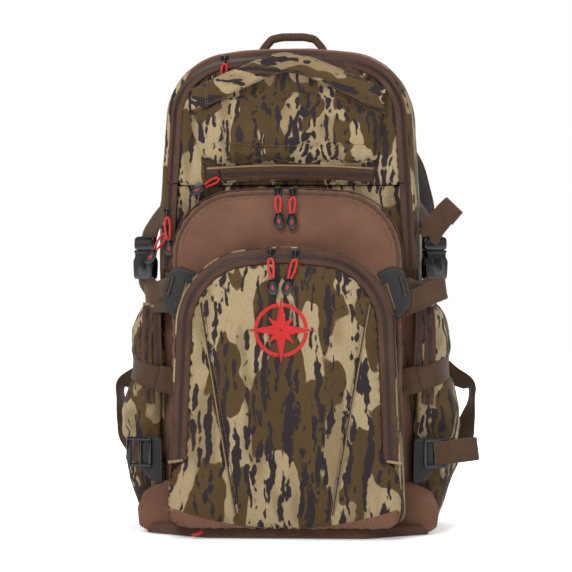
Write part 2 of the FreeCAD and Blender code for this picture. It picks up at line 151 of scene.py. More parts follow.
def colour(red, green, blue):
    """A display colour out of 255, as linear light."""
    def linear(channel):
        share = channel / 255
        return share / 12.92 if share < 0.04045 else ((share + 0.055) / 1.055) ** 2.4
    return (linear(red), linear(green), linear(blue), 1)


def camo_material(name="camo_fabric", turned=False, folds=False):
    """A generic bark print: tan ground, smooth olive patches and dark streaks.

    The streaks stand upright, or run across where the cloth is cut the other way.
    """
    look = Look(name, 0.9, 0.03, folds=folds)
    plain = look.place
    if turned:
        plain = look.mapped((1, 1, 1), offset=(0.3, 0.0, 0.17), turn=(0, math.radians(82), 0))

    def field(scale, squash, detail, offset, vector=plain):
        return look.noise(scale, detail, look.mapped((1, 1, squash), vector, offset), 0.45)

    def swayed(scale, squash, amount, vector=plain):
        push = look.add("VectorMath", {0: field(scale, squash, 1, (4, 2, 6))["Color"],
                                       1: (0.5, 0.5, 0.5)}, operation="SUBTRACT")
        push = look.add("VectorMath", {0: push.outputs[0], 1: (amount, amount, 0)},
                        operation="MULTIPLY")
        return look.add("VectorMath", {0: vector, 1: push.outputs[0]}, operation="ADD").outputs[0]

    bent = swayed(90, 0.8, 7 * MM, swayed(26, 0.8, 16 * MM))
    ragged = field(220, 0.7, 0.5, (0, 3, 1))["Fac"]
    ground = look.mix(look.step(field(34, 0.4, 1, (3, 1, 2))["Fac"], 0.54, 0.05),
                      (149, 131, 100), (127, 109, 80))
    shape = field(36, 0.42, 0.6, (0.33, 0.2, 0.13), swayed(60, 0.8, 9 * MM))["Fac"]
    olive = look.mix(field(40, 0.3, 2, (5, 2, 7))["Fac"], (84, 64, 37), (60, 46, 27))
    layered = look.mix(look.step(shape, 0.497, 0.004), ground, (84, 63, 38))
    layered = look.mix(look.step(shape, 0.505, 0.003), layered, olive)
    dark = None
    for number, (cell, squash, reach) in enumerate(((11, 0.085, 0.34), (8, 0.07, 0.29),
                                                    (9.5, 0.06, 0.27))):
        cells = look.mapped((1, 1, squash), bent, (0.013 * number, 0.021, 0.007))
        bark = look.add("TexVoronoi", {"Vector": cells, "Scale": 1 / (cell * MM),
                                       "Randomness": 0.9})
        rough = look.calc("MULTIPLY_ADD", ragged, 0.24, bark.outputs["Distance"])
        streaks = look.step(look.calc("SUBTRACT", reach + 0.12, rough), 0.0, 0.02)
        dark = look.calc("MAXIMUM", dark, streaks) if dark else streaks
    layered = look.mix(dark, layered, (42, 35, 37))
    link_worn(look, layered, look.noise(700, 2)["Fac"], 0.3)
    look.bump(look.noise(42, 5, look.mapped((1, 1, 0.7)), 0.6)["Fac"], 0.6, 0.004)
    axes = look.axes()
    across = look.calc("ADD", axes["X"], axes["Y"])
    weave = look.calc("MULTIPLY", look.wave(across, 0.9 * MM), look.wave(axes["Z"], 0.9 * MM))
    look.bump(weave, 0.25, 0.0002)
    return look.mat


def link_worn(look, base, dirt, amount):
    """The base colour, made uneven by a noise."""
    look.link(look.mix(amount, base, dirt, "OVERLAY"), "Base Color")


def nylon_material(name="brown_nylon", light=(128, 90, 70), dark=(72, 47, 36), period=2.2 * MM):
    """Ballistic nylon: a diagonal basket weave."""
    look = Look(name, 0.7, 0.05)
    axes = look.axes()
    across = look.calc("ADD", axes["X"], axes["Y"])
    slope = look.calc("ADD", across, look.calc("MULTIPLY", axes["Z"], 0.8))
    second = look.wave(look.calc("SUBTRACT", across, axes["Z"]), period / 1.6)
    weave = look.calc("MULTIPLY_ADD", second, 0.35,
                      look.calc("MULTIPLY", look.wave(slope, period), 0.65))
    lift = look.calc("MULTIPLY_ADD", weave, 0.5, 0.5)
    blotch = look.noise(30, 4)["Fac"]
    link_worn(look, look.mix(lift, dark, light), blotch, 0.4)
    look.bump(blotch, 0.35, 0.003)
    look.bump(lift, 0.6, 0.0006)
    return look.mat


def woven_material(name, light, dark, ribs):
    """Webbing or tape: ribs across its length and fine lengthwise lines, from its own UVs."""
    look = Look(name, 0.7, 0.05)
    flat = look.add("SeparateXYZ", {"Vector": look.add("UVMap", uv_map="strip").outputs["UV"]})
    rib, thread = look.wave(flat.outputs["Y"], ribs), look.wave(flat.outputs["X"], ribs * 1.3)
    height = look.calc("MULTIPLY_ADD", look.calc("MULTIPLY", rib, thread), 0.5, 0.5)
    link_worn(look, look.mix(height, dark, light), look.noise(45, 5)["Fac"], 0.45)
    look.bump(height, 0.7, 0.0005)
    return look.mat


def plastic_material(name, tint, roughness, grain=0.0002, scale=500):
    """Moulded or painted: fine grain, and scuffs that change its tone and gloss."""
    look = Look(name, roughness, specular=0.5)
    speck, scuff = look.noise(scale, 3)["Fac"], look.noise(60, 6)["Fac"]
    bright = Vector(colour(*tint)[:3])
    look.link(look.mix(scuff, [*(bright * 0.6), 1], tint), "Base Color")
    rough = look.add("MapRange", {"Value": scuff, "To Min": roughness - 0.1,
                                  "To Max": roughness + 0.12})
    look.link(rough.outputs["Result"], "Roughness")
    look.bump(speck, 0.3, grain)
    return look.mat


def thread_material(name, tint, shade, period):
    """Braided cord or satin stitching: fine slanted threads."""
    look = Look(name, 0.55, 0.3)
    axes = look.axes()
    slant = look.calc("ADD", axes["X"], look.calc("MULTIPLY", axes["Z"], 1.7))
    height = look.calc("MULTIPLY_ADD", look.wave(slant, period), 0.5, 0.5)
    look.link(look.mix(height, shade, tint), "Base Color")
    look.bump(height, 0.6, 0.0003)
    return look.mat


def mesh_material():
    """Spacer mesh: a grid of small holes over foam."""
    look = Look("mesh_padding", 0.85, 0.2)
    cells = look.add("TexVoronoi", {"Vector": look.mapped((1, 0.4, 1)), "Scale": 380,
                                    "Randomness": 0.15}).outputs["Distance"]
    look.link(look.mix(look.step(cells, 0.3, 0.1), (18, 17, 18), (58, 54, 53)), "Base Color")
    look.bump(cells, 0.8, 0.0008)
    return look.mat


CAMO = camo_material()
CAMO_ACROSS = camo_material("camo_across", turned=True)
CAMO_FOLDS = camo_material("camo_folds", folds=True)
NYLON = nylon_material()
DARK_NYLON = nylon_material("dark_nylon", (96, 68, 52), (62, 43, 33), 1.6 * MM)
WEBBING = woven_material("webbing", (90, 66, 47), (48, 34, 24), 1.5 * MM)
# Darker webbing; on the hood's piping its darkness is painted shadow, for the shade under the
# band.
WEBBING_DARK = woven_material("webbing_dark", (62, 46, 35), (34, 24, 18), 1.5 * MM)
TAPE = woven_material("zip_tape", (92, 64, 51), (52, 34, 27), 1.1 * MM)
# Dark coil colour; on the darts it is also painted shade in the crease.
COIL = plastic_material("zip_coil", (56, 38, 32), 0.4)
# Tan piping colour; on the darts it is also a painted highlight along the fold.
PIPING = nylon_material("piping", (170, 148, 108), (120, 98, 66), 1.2 * MM)
HYPALON = plastic_material("hypalon", (30, 30, 31), 0.7, 0.0003, 350)
BUCKLE = plastic_material("buckle_plastic", (7, 7, 8), 0.2)
METAL = plastic_material("slider_metal", (13, 13, 14), 0.16)
RUBBER = plastic_material("pull_rubber", (26, 26, 28), 0.45)
SHEET = plastic_material("sheet_plastic", (60, 60, 60), 0.5)
RED = thread_material("red_cord", (226, 44, 40), (150, 10, 14), 1.3 * MM)
SATIN = thread_material("red_satin", (214, 40, 36), (150, 16, 18), 0.9 * MM)
STITCH = thread_material("stitching", (120, 92, 66), (70, 50, 36), 0.8 * MM)
MESH = mesh_material()


# ---------------------------------------------------------------- mesh helpers

def make(name, points, faces, mats, body="pack", slot=None, choose=None, smooth=True, uvs=None):
    """A piece from points and faces; choose(centre) says which faces get the second material."""
    data = bpy.data.meshes.new(name)
    data.from_pydata([tuple(point) for point in points], [], faces)
    for mat in mats:
        data.materials.append(mat)
    if uvs is not None:
        layer = data.uv_layers.new(name="strip")
        for loop in data.loops:
            layer.data[loop.index].uv = uvs[loop.vertex_index]
    for face in data.polygons:
        face.use_smooth = smooth
        if choose:
            face.material_index = int(choose(face.center))
    data.update()
    piece = add_object(name, data)
    if body:
        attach(piece, body)
    return piece


ARC_STEPS = 14


def arc3(first, middle, last):
    """Points along the circle arc through three points of a plane."""
    (ax, ay), (bx, by), (cx, cy) = first, middle, last
    d = 2 * (ax * (by - cy) + bx * (cy - ay) + cx * (ay - by))
    a2, b2, c2 = ax * ax + ay * ay, bx * bx + by * by, cx * cx + cy * cy
    ux = (a2 * (by - cy) + b2 * (cy - ay) + c2 * (ay - by)) / d
    uy = (a2 * (cx - bx) + b2 * (ax - cx) + c2 * (bx - ax)) / d
    radius = math.hypot(ax - ux, ay - uy)
    start, through, end = (math.atan2(y - uy, x - ux) for x, y in (first, middle, last))
    sweep = (end - start) % (2 * math.pi)
    if (through - start) % (2 * math.pi) > sweep:
        sweep -= 2 * math.pi
    return [(ux + radius * math.cos(start + sweep * k / ARC_STEPS),
             uy + radius * math.sin(start + sweep * k / ARC_STEPS)) for k in range(ARC_STEPS)]


def trace(entries, closed=True):
    """An outline of corners and bowed edges (x, z, "mid"), as a list of points."""
    corners, bows, points = [], {}, []
    for entry in entries:
        if len(entry) == 2:
            corners.append(entry)
        else:
            bows[len(corners) - 1] = entry[:2]
    for number in range(len(corners) if closed else len(corners) - 1):
        start, end = corners[number], corners[(number + 1) % len(corners)]
        points += arc3(start, bows[number], end) if number in bows else [start]
    return points if closed else points + corners[-1:]


def mirror(right, top=None):
    """A right half's entries, the bow at the top's middle, and the half mirrored."""
    left = [(-entry[0], *entry[1:]) for entry in reversed(right)]
    return right + ([(0.0, top, "mid")] if top else []) + left


def resample(points, count, closed=True):
    """Evenly spaced points along a line or loop of any dimension."""
    line = np.array(points, float)
    if closed:
        line = np.vstack([line, line[:1]])
    lengths = np.r_[0, np.cumsum(np.linalg.norm(np.diff(line, axis=0), axis=1))]
    at = np.linspace(0, lengths[-1], count, endpoint=not closed)
    return np.stack([np.interp(at, lengths, line[:, axis]) for axis in range(line.shape[1])], 1)


def soften(line, rounds, closed=True):
    """Average each point with its neighbours, to take corners off."""
    for _ in range(rounds):
        before, after = np.roll(line, 1, 0), np.roll(line, -1, 0)
        eased = line * 0.5 + (before + after) * 0.25
        if not closed:
            eased[0], eased[-1] = line[0], line[-1]
        line = eased
    return line


def run(points, count, rounds=0):
    """An open line, evenly spaced and softened."""
    return soften(resample(points, count, closed=False), rounds, closed=False)


def inset(loop, distance):
    """Move a flat loop inwards, towards its own middle."""
    way = np.roll(loop, -1, 0) - np.roll(loop, 1, 0)
    way /= np.linalg.norm(way, axis=1)[:, None] + 1e-12
    normal = np.stack([-way[:, 1], way[:, 0]], 1)
    if np.sum(normal * (loop.mean(0) - loop)) < 0:
        normal = -normal
    return loop + normal * distance


def wavy(point, scale, seed=0.0, stretch=0.5):
    """Smooth noise between -1 and 1 at a point, drawn out upwards."""
    x, y, z = point
    place = Vector((x * scale + seed, y * scale - seed, z * scale * stretch))
    return noise.fractal(place, 0.6, 2.0, 3)


def loft(rings, closed=True):
    """Faces between rings of equal length."""
    count = len(rings[0])
    faces = []
    for level in range(len(rings) - 1):
        for number in range(count if closed else count - 1):
            following = (number + 1) % count
            a, b = level * count + number, level * count + following
            faces.append((a, b, b + count, a + count))
    return faces


def flat(rings):
    return [point for ring in rings for point in ring]


def capped(rings):
    """The points and faces of a tube through rings, closed at both ends."""
    points, count = flat(rings), len(rings[0])
    return points, loft(rings) + [tuple(range(count)),
                                  tuple(reversed(range(len(points) - count, len(points))))]


RIM = 220
WALL_STEPS = 6


def puff(name, loop, y_back, y_front, edge, crown, mats, body="pack", choose=None, flare=0.0,
         fold=0.6 * MM, scale=28, seed=0.0, rings=34, centre=None, close_back=True):
    """A stuffed panel: walls up from its back, a rolled edge and a crowned front.

    y_back and y_front are depths; edge is the roll's radius, crown the extra middle height.
    """
    facing = -1 if y_front < y_back else 1
    outline = soften(resample(loop, RIM), 3)
    middle = np.array(centre if centre is not None else outline.mean(0))
    points, levels = [], []
    roll_start = y_front - facing * edge
    for number in range(WALL_STEPS):
        share = number / WALL_STEPS
        wide = flare * (1 - share) ** 1.6 * np.clip((0.24 - outline[:, 1]) / 0.12, 0, 1)
        spread = inset(outline, -wide[:, None])
        levels.append([(x, y_back + (roll_start - y_back) * share, z) for x, z in spread])
    for number in range(rings):
        share = 1 - (number / (rings - 1)) ** 1.5 * 0.985
        ring = middle + (outline - middle) * share
        gap = np.sqrt(((ring[:, None, :] - outline[None, ::3, :]) ** 2).sum(2)).min(1)
        lift = np.sqrt(np.clip(1 - (1 - np.clip(gap / edge, 0, 1)) ** 2, 0, 1)) * edge
        lift += crown * (1 - np.exp(-gap / 0.035))
        levels.append([(x, roll_start + facing * rise, z) for (x, z), rise in zip(ring, lift)])
    for level in levels:
        for x, y, z in level:
            points.append((x, y + facing * wavy((x, y, z), scale, seed) * fold * 2, z))
    faces = loft(levels)
    last, hub = (len(levels) - 1) * RIM, len(points)
    points.append((middle[0], points[last][1], middle[1]))
    faces += [(last + k, last + (k + 1) % RIM, hub) for k in range(RIM)]
    if close_back:
        points.append((middle[0], y_back, middle[1]))
        faces += [((k + 1) % RIM, k, hub + 1) for k in range(RIM)]
    return make(name, points, faces, mats, body, choose=choose)


def surface(*pieces):
    """What lies under a sewn detail: one tree of all the pieces' faces."""
    points, faces = [], []
    for piece in pieces:
        base = len(points)
        points += [vertex.co.copy() for vertex in piece.data.vertices]
        faces += [tuple(base + index for index in face.vertices) for face in piece.data.polygons]
    return BVHTree.FromPolygons(points, faces)


AHEAD = -0.4


def on_front(tree, x, z, lift=0.0, default=0.0):
    """The point of a surface seen from ahead of it at x and z, raised a little."""
    hit, *_ = tree.ray_cast(Vector((x, AHEAD, z)), Vector((0, 1, 0)))
    return Vector((x, default, z)) if hit is None else hit - Vector((0, lift, 0))


def laid(tree, line, lift, default=0.0):
    """A line of x and z laid on a surface, as seen from the front."""
    return [tuple(on_front(tree, x, z, lift, default)) for x, z in line]


def frames(line, facing):
    """A line of 3-D points with its tangents, sides and ups; facing is the rough up."""
    line = np.array(line, float)
    way = np.gradient(line, axis=0)
    way /= np.linalg.norm(way, axis=1)[:, None] + 1e-12
    up = np.array(facing, float)
    if up.ndim == 1:
        up = np.tile(up, (len(line), 1))
    if len(up) != len(line):
        at = np.linspace(0, len(up) - 1, len(line))
        up = np.stack([np.interp(at, range(len(up)), up[:, axis]) for axis in range(3)], 1)
    side = np.cross(way, up)
    side /= np.linalg.norm(side, axis=1)[:, None] + 1e-12
    return line, way, side, np.cross(side, way)


STRAP_PROFILE = [(-0.5, -0.3), (-0.47, 0.5), (-0.25, 0.5), (0, 0.5), (0.25, 0.5), (0.47, 0.5),
                 (0.5, -0.3), (0.47, -0.5), (0, -0.5), (-0.47, -0.5)]
STRAP_THICK = 1.9 * MM
STRAP_WIDE = 25 * MM


def ribbon(name, line, facing, width, mat=WEBBING, body="pack", thick=STRAP_THICK, slot=None,
           hollow=0.0):
    """A flat strap along a line."""
    line, _, side, up = frames(line, facing)
    travelled = np.r_[0, np.cumsum(np.linalg.norm(np.diff(line, axis=0), axis=1))]
    uvs, rings = [], []
    for at, along, over, out in zip(line, travelled, side, up):
        rings.append([at + over * (u * width) + out * (v * thick - hollow * (1 - (2 * u) ** 2))
                      for u, v in STRAP_PROFILE])
        uvs += [(u * width, along) for u, _ in STRAP_PROFILE]
    return make(name, *capped(rings), [mat], body, slot, uvs=uvs)


def tube(name, line, radius, mat, body="pack", slot=None, facing=(0, -1, 0.01)):
    """A round cord, pipe or piping along a line of 3-D points."""
    line, _, side, up = frames(line, facing)
    turns = np.linspace(0, 2 * math.pi, 8, endpoint=False)
    rings = [[at + (over * math.cos(turn) + out * math.sin(turn)) * radius for turn in turns]
             for at, over, out in zip(line, side, up)]
    return make(name, *capped(rings), [mat], body, slot)


STITCH_PITCH = 3.2 * MM


def stitch_row(name, line, body="pack", facing=(0, -1, 0), thick=0.45 * MM):
    """A row of short raised stitches along a line."""
    line = np.array(line, float)
    total = np.linalg.norm(np.diff(line, axis=0), axis=1).sum()
    dense = run(line, max(int(total / STITCH_PITCH) * 3 + 1, 7))
    _, _, side, up = frames(dense, facing)
    points, faces = [], []
    for number in range(0, len(dense) - 2, 3):
        start, end = dense[number], dense[number + 2]
        over, out = side[number] * thick, up[number] * thick
        base = len(points)
        middle = (start + end) / 2 + out * 1.2
        for at, size in ((start - out, 0.5), (middle, 1.0), (end - out, 0.5)):
            points += [at - over * size, at + out * size, at + over * size]
        for a in (base, base + 3):
            faces += [(a, a + 1, a + 4, a + 3), (a + 1, a + 2, a + 5, a + 4),
                      (a + 2, a, a + 3, a + 5)]
        faces += [(base, base + 2, base + 1), (base + 6, base + 7, base + 8)]
    return make(name, points, faces, [STITCH], body)


def seam(name, tree, line, body="pack", lift=0.4 * MM):
    """Stitches that follow a surface seen from the front."""
    return stitch_row(name, laid(tree, run(line, max(len(line) * 6, 40)), lift), body)


def zipper(name, line, facing, width, body="pack", coil=True, parts=(-1, 1)):
    """Zip tape along a line, its halves -1 and 1, with a raised coil of teeth between them."""
    line = np.array(line, float)
    side = frames(line, facing)[2]
    half = width / 2
    pieces = [ribbon(name + ("_near" if part < 0 else "_far"),
                     line + side * part * (half / 2 + 0.35 * MM), facing, half - 0.7 * MM, TAPE,
                     body, 1.0 * MM, hollow=-0.3 * MM) for part in parts]
    return pieces + ([teeth(name + "_coil", line, facing, body)] if coil else [])


def opening_zip(name, line, depth, tilt, body):
    """A zip whose outer half stays on the pack, while its inner half moves with a body."""
    arch = [(x, depth, z) for x, z in line]
    outer, _ = zipper(name + "_outer", arch, tilt, ZIP_WIDE, parts=(1,))
    inner, = zipper(name + "_inner", arch, tilt, ZIP_WIDE, body, coil=False, parts=(-1,))
    return outer, inner


TOOTH_PITCH = 1.45 * MM
TOOTH_REACH = 2.6 * MM


def teeth(name, line, facing, body):
    """A row of small tapered blocks, one for each turn of the coil."""
    total = np.linalg.norm(np.diff(line, axis=0), axis=1).sum()
    dense = frames(run(line, int(total / TOOTH_PITCH)), facing)
    points, faces = [], []
    for at, along, over, out in zip(*dense):
        base = len(points)
        for height, spread in ((0.2 * MM, 1.0), (1.3 * MM, 0.72)):
            for u, v in ((-1, -1), (1, -1), (1, 1), (-1, 1)):
                points.append(at + over * u * TOOTH_REACH * spread
                              + along * v * TOOTH_PITCH * 0.36 * spread + out * height)
        faces += [tuple(base + k for k in face) for face in (
            (4, 5, 6, 7), (0, 1, 5, 4), (1, 2, 6, 5), (2, 3, 7, 6), (3, 0, 4, 7), (3, 2, 1, 0))]
    return make(name, points, faces, [COIL], body, smooth=False)


# ---------------------------------------------------------------- places, from the frame

BAG_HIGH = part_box("bag_gusset")[1]
LID_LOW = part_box("main_zip_body_tape")[0]
MID_LOW, MID_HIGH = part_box("middle_pocket")
POUCH_LOW, POUCH_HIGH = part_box("front_pocket_pouch")
PANEL_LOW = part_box("front_pocket_panel")[0]
SIDE_LOW, SIDE_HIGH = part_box("side_pocket_right")
HALF = BAG_HIGH.x
CROWN = BAG_HIGH.z
FRONT = LID_LOW.y
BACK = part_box("back_wall")[1].y
FOLD = LID_LOW.z - 2 * MM
ZIP_WIDE = 17 * MM

# The bag's outline: its sides lean in above the waist, turn at the shoulder, and an arc through
# the bend leads to the crown's edge.
WAIST_Z = 0.33
SHOULDER_Z = CROWN - 76 * MM
BEND_X, BEND_Z = HALF - 26 * MM, CROWN - 28 * MM
CROWN_EDGE = 0.072


def bag_loop():
    """The main bag's outline seen from the front, down to just above the floor."""
    low = 3 * MM
    right = [(HALF - 22 * MM, low), (HALF - 6 * MM, low + 6 * MM, "mid"), (HALF, low + 24 * MM),
             (HALF, WAIST_Z), (HALF - 7 * MM, SHOULDER_Z), (BEND_X, BEND_Z, "mid"),
             (CROWN_EDGE, CROWN - 5 * MM)]
    return resample(trace(mirror(right, CROWN)), 260)


def lid_loop(distance, low):
    """The lid's outline, moved inwards."""
    slope = 7 / 125
    right = [(HALF - distance - (low - WAIST_Z) * slope, low),
             (HALF - 7 * MM - distance, SHOULDER_Z),
             (BEND_X - 0.78 * distance, BEND_Z - 0.62 * distance, "mid"),
             (CROWN_EDGE - 0.1 * distance, CROWN - 5 * MM - distance)]
    return mirror(right, CROWN - distance)


def pocket_path(distance, low):
    """The front pocket's arch, moved inwards, from one foot over the top to the other."""
    foot, waist, top = POUCH_HIGH.x + 3 * MM, 0.115, POUCH_HIGH.z - 5 * MM
    lean = (foot - waist) / 0.22
    right = [(foot - distance - (low - 0.012) * lean, low), (waist - distance, 0.232),
             (waist - 21 * MM - 0.78 * distance, top - 25 * MM - 0.62 * distance, "mid"),
             (0.055 - 0.1 * distance, top - distance)]
    return mirror(right, POUCH_HIGH.z - distance)


# ---------------------------------------------------------------- main bag

# Sections of the gusset from front to back in mm: depth, and distance in from the outline.
GUSSET_STEPS = [(-25.6, 5), (-24.8, 2.6), (-20, 0.8), (-14, 0), (0, -1), (25, -2), (55, -2),
                (82, -0.5), (93, 1.5), (98, 5)]


def build_gusset():
    """The bag's sides, top and floor in one sewn strip, camouflaged except along the crown."""
    loop = soften(bag_loop(), 4)
    rings = []
    for depth, distance in GUSSET_STEPS:
        level = []
        for x, z in inset(loop, distance * MM):
            ripple = wavy((x, depth * MM, z), 26, 3.0)
            level.append((x * (1 + 0.006 * ripple), depth * MM,
                          max(z + ripple * 0.8 * MM, 1.8 * MM)))
        rings.append(level)
    piece = make("bag_gusset_skin", flat(rings), loft(rings), [CAMO, NYLON],
                 choose=lambda centre: centre.z > CROWN - 22 * MM or centre.z < 30 * MM)
    thicken(piece, 1.6 * MM)
    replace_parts(piece, "bag_gusset", "base_panel")
    panel = puff("back_panel", inset(loop, 4 * MM), BACK - 5 * MM, BACK + 3 * MM, 4 * MM, 0,
                 [DARK_NYLON], fold=0.3 * MM)
    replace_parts(panel, "back_wall")


def thicken(piece, thickness):
    modifier = piece.modifiers.new("cloth", "SOLIDIFY")
    modifier.thickness, modifier.offset = thickness, -1
    apply_modifiers(piece)


def subdivide(piece):
    piece.modifiers.new("round", "SUBSURF").levels = 1
    apply_modifiers(piece)


def apply_modifiers(piece):
    graph = bpy.context.evaluated_depsgraph_get()
    graph.update()
    data = bpy.data.meshes.new_from_object(piece.evaluated_get(graph))
    piece.modifiers.clear()
    piece.data = data


def shade_smooth(data):
    data.polygons.foreach_set("use_smooth", [True] * len(data.polygons))


VOXEL = 5 * MM
CLOTH_FRAMES = 20


def plump(piece, held, pressure, most, slack=0.04):
    """Blow a piece up as cloth for a moment, so that its fabric fills and wrinkles.

    held(point) says which points a seam or a strap holds; no point moves more than most.
    """
    remesh = piece.modifiers.new("even", "REMESH")
    remesh.mode, remesh.voxel_size = "VOXEL", VOXEL
    mats = list(piece.data.materials)
    apply_modifiers(piece)
    rest = np.array([tuple(vertex.co) for vertex in piece.data.vertices])
    group = piece.vertex_groups.new(name="held")
    group.add([number for number, point in enumerate(rest) if held(point)], 1.0, "REPLACE")
    cloth = piece.modifiers.new("cloth", "CLOTH").settings
    cloth.quality, cloth.mass = 6, 0.2
    cloth.tension_stiffness = cloth.compression_stiffness = 12
    cloth.bending_stiffness = 0.4
    cloth.use_pressure, cloth.uniform_pressure_force = True, pressure
    cloth.shrink_min = -slack
    cloth.vertex_group_mass = "held"
    cloth.effector_weights.gravity = 0
    for frame_number in range(1, CLOTH_FRAMES + 1):
        bpy.context.scene.frame_set(frame_number)
    graph = bpy.context.evaluated_depsgraph_get()
    data = bpy.data.meshes.new_from_object(piece.evaluated_get(graph))
    moved = np.array([tuple(vertex.co) for vertex in data.vertices]) - rest
    far = np.linalg.norm(moved, axis=1)[:, None]
    settled = rest + moved * np.minimum(1, most / np.maximum(far, 1e-9))
    piece.modifiers.clear()
    piece.vertex_groups.clear()
    for vertex, point in zip(piece.data.vertices, settled):
        vertex.co = point
    bpy.context.scene.frame_set(1)
    subdivide(piece)
    piece.data.materials.clear()
    for mat in mats:
        piece.data.materials.append(mat)
    shade_smooth(piece.data)


def build_front_wall():
    right = [(HALF - 24 * MM, 4 * MM), (HALF - 5 * MM, 26 * MM), (HALF - 4 * MM, WAIST_Z),
             (HALF - 7 * MM, FOLD - 0.3 * MM)]
    wall = puff("front_wall_skin", resample(trace(mirror(right)), 200), FRONT + 3 * MM,
                FRONT - 1 * MM, 2 * MM, 0, [NYLON, CAMO], choose=lambda centre: centre.z > 0.3,
                fold=0.2 * MM)
    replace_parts(wall, "lower_front_wall")


def build_main_zip():
    """The zip up both sides and over the crown; above the fold its inner half opens."""
    low = FOLD + 3 * MM
    line = run(trace(lid_loop(9.5 * MM, low), closed=False), 200, 4)
    depth = FRONT - 3.2 * MM
    tilt = [(x * 3.5, -1, max(z - 0.45, 0) * 4) for x, z in line]
    outer, inner = opening_zip("main_zip", line, depth, tilt, "lid")
    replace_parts(outer, "main_zip_body_tape")
    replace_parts(inner, "main_zip_lid_tape")
    start, end = HALF - 7 * MM, HALF - 12 * MM
    for side, name in SIDES:
        below = [(side * (start + (end - start) * share), depth, 0.285 + (low - 0.286) * share)
                 for share in np.linspace(0, 1, 30)]
        zipper("main_zip_low_" + name, below, (side * 0.45, -1, 0), ZIP_WIDE)


# ---------------------------------------------------------------- lid

def build_lid():
    """The lid's front, camouflaged with a brown strip along the crown, and what is sewn on it."""
    def crown_strip(centre):
        edge = 0.506 - 0.018 * min(abs(centre.x) / 0.05, 1)
        return abs(centre.x) < 0.078 and centre.z > edge

    lid = puff("lid_skin", resample(trace(lid_loop(16 * MM, FOLD + 0.3 * MM)), 220),
               FRONT + 2 * MM, FRONT - 5 * MM, 5 * MM, 3 * MM, [CAMO, DARK_NYLON], "lid",
               crown_strip, fold=1.2 * MM, seed=2.0)
    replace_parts(lid, "lid_panel")
    tree = surface(lid, build_stuff_pocket())
    seam("stuff_seam", tree, mm([(-75, 422.5), (-30, 418.5), (30, 417.5), (78, 419.5)]), "lid")
    for side, name in SIDES:
        seam("corner_seam_" + name, tree, [(side * 0.079, 0.508), (side * 0.081, 0.492)], "lid")
    build_hood()
    build_upper_zip(surface(lid))


def build_stuff_pocket():
    """The lid's soft pocket: gathered into a seam at its foot, leaning back at its top."""
    right = mm([(86, 400), (96, 405, "mid"), (99, 420), (101, 462)])
    pocket = puff("stuff_pocket_skin", resample(trace(mirror(right, 0.479)), 220),
                  FRONT - 3 * MM, FRONT - 17 * MM, 12 * MM, 9 * MM, [CAMO], "lid",
                  fold=1.4 * MM, seed=5.0, scale=24)
    plump(pocket, lambda at: at[1] > FRONT - 7 * MM or at[2] > 0.468, 5.0, 4 * MM, 0.06)
    root, seam_z = FRONT - 3 * MM, 0.4185
    for vertex in pocket.data.vertices:
        x, y, z = vertex.co
        if z > 0.44 and y < root:
            lean = min((z - 0.44) / 0.039, 1)
            vertex.co.y = root + (y - root) * (1 - 0.62 * lean ** 1.4)
        if y < FRONT - 6 * MM:
            gather = np.clip((seam_z + 2 * MM - z) / (5 * MM), 0, 1)
            pleat = math.sin(x / (1.7 * MM) + 3 * wavy((x, 0, 0), 60)) * gather
            groove = math.exp(-((z - seam_z) / (3.2 * MM)) ** 2)
            vertex.co.y += (1.1 * pleat + 3.4 * groove) * MM
    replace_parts(pocket, "stuff_pocket")
    return pocket


HOOD_PROFILE = [(-0.5, 0), (-0.46, 0.42), (-0.3, 0.62), (0, 0.7), (0.3, 0.62), (0.46, 0.42),
                (0.5, 0), (0.44, -0.35), (0, -0.42), (-0.44, -0.35)]


def build_hood():
    """The padded arch sewn over the stuff pocket, with a double bar of stitches at each end."""
    low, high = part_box("hood_band")
    share = np.linspace(-1, 1, 61)
    x = share * high.x
    bow = np.sqrt(share ** 2 + 0.035) - 0.187
    bow = bow / bow[0]
    width = (23 + 9 * bow) * MM
    z = high.z - (high.z - low.z - 30 * MM) * bow - width / 2
    depth = FRONT - 20 * MM + 9 * MM * share ** 4
    rings = []
    for at, wide, part in zip(np.stack([x, depth, z], 1), width, share):
        pad = 8.5 * MM * (1 - 0.75 * max(abs(part) - 0.8, 0) / 0.2)
        tip = 0.34 * (1 - part ** 2)
        out, over = np.array((0.0, -0.94, tip)), np.array((0.0, -tip, 0.94))
        rings.append([at + over * u * wide + out * (v * pad + 0.5 * MM * wavy(at * 2, 30))
                      for u, v in HOOD_PROFILE])
    band = make("hood_band_skin", *capped(rings), [CAMO_ACROSS], "lid")
    subdivide(band)
    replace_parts(band, "hood_band")
    tree = surface(band)
    for side, name in SIDES:
        for number, across in enumerate((0.0865, 0.0885)):
            middle = np.interp(side * across, x, z)
            bar = [(side * across, middle + rise * MM) for rise in (-13.5, 0, 13.5)]
            seam(f"hood_stitch_{name}_{number}", tree, bar, "lid", 0.3 * MM)

    def along(offset, cut):
        return [(a, c + offset * w) for a, c, w in zip(x, z, width)][cut:-cut]

    # The piping along the band's lower edge is real; its darker webbing colour is painted shadow,
    # for the shade under the band.
    tube("hood_piping_with_painted_shadow", laid(tree, along(-0.485, 4), -0.6 * MM), 1.6 * MM, WEBBING_DARK, "lid",
         "brown_nylon")
    for offset, name in ((-0.4, "low"), (0.4, "high")):
        seam("hood_edge_" + name, tree, along(offset, 6), "lid", 0.3 * MM)


def build_upper_zip(tree):
    """The organiser pocket's zip across the lid, between two rolled edges."""
    x = np.linspace(-0.089, 0.092, 60)
    z = 0.3895 - 3.5 * MM * (x / 0.09) ** 2
    near, *_ = zipper("upper_zip", laid(tree, zip(x, z), 1.2 * MM), (0, -1, 0), 14 * MM, "lid")
    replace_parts(near, "upper_pocket_zip")
    for offset, name, mat in ((8.2, "high", PIPING), (-7.4, "low", CAMO)):
        edge = laid(tree, zip(x, z + offset * MM), 0.6 * MM)
        tube("upper_zip_roll_" + name, edge, 1.3 * MM, mat, "lid")


# ---------------------------------------------------------------- middle pocket

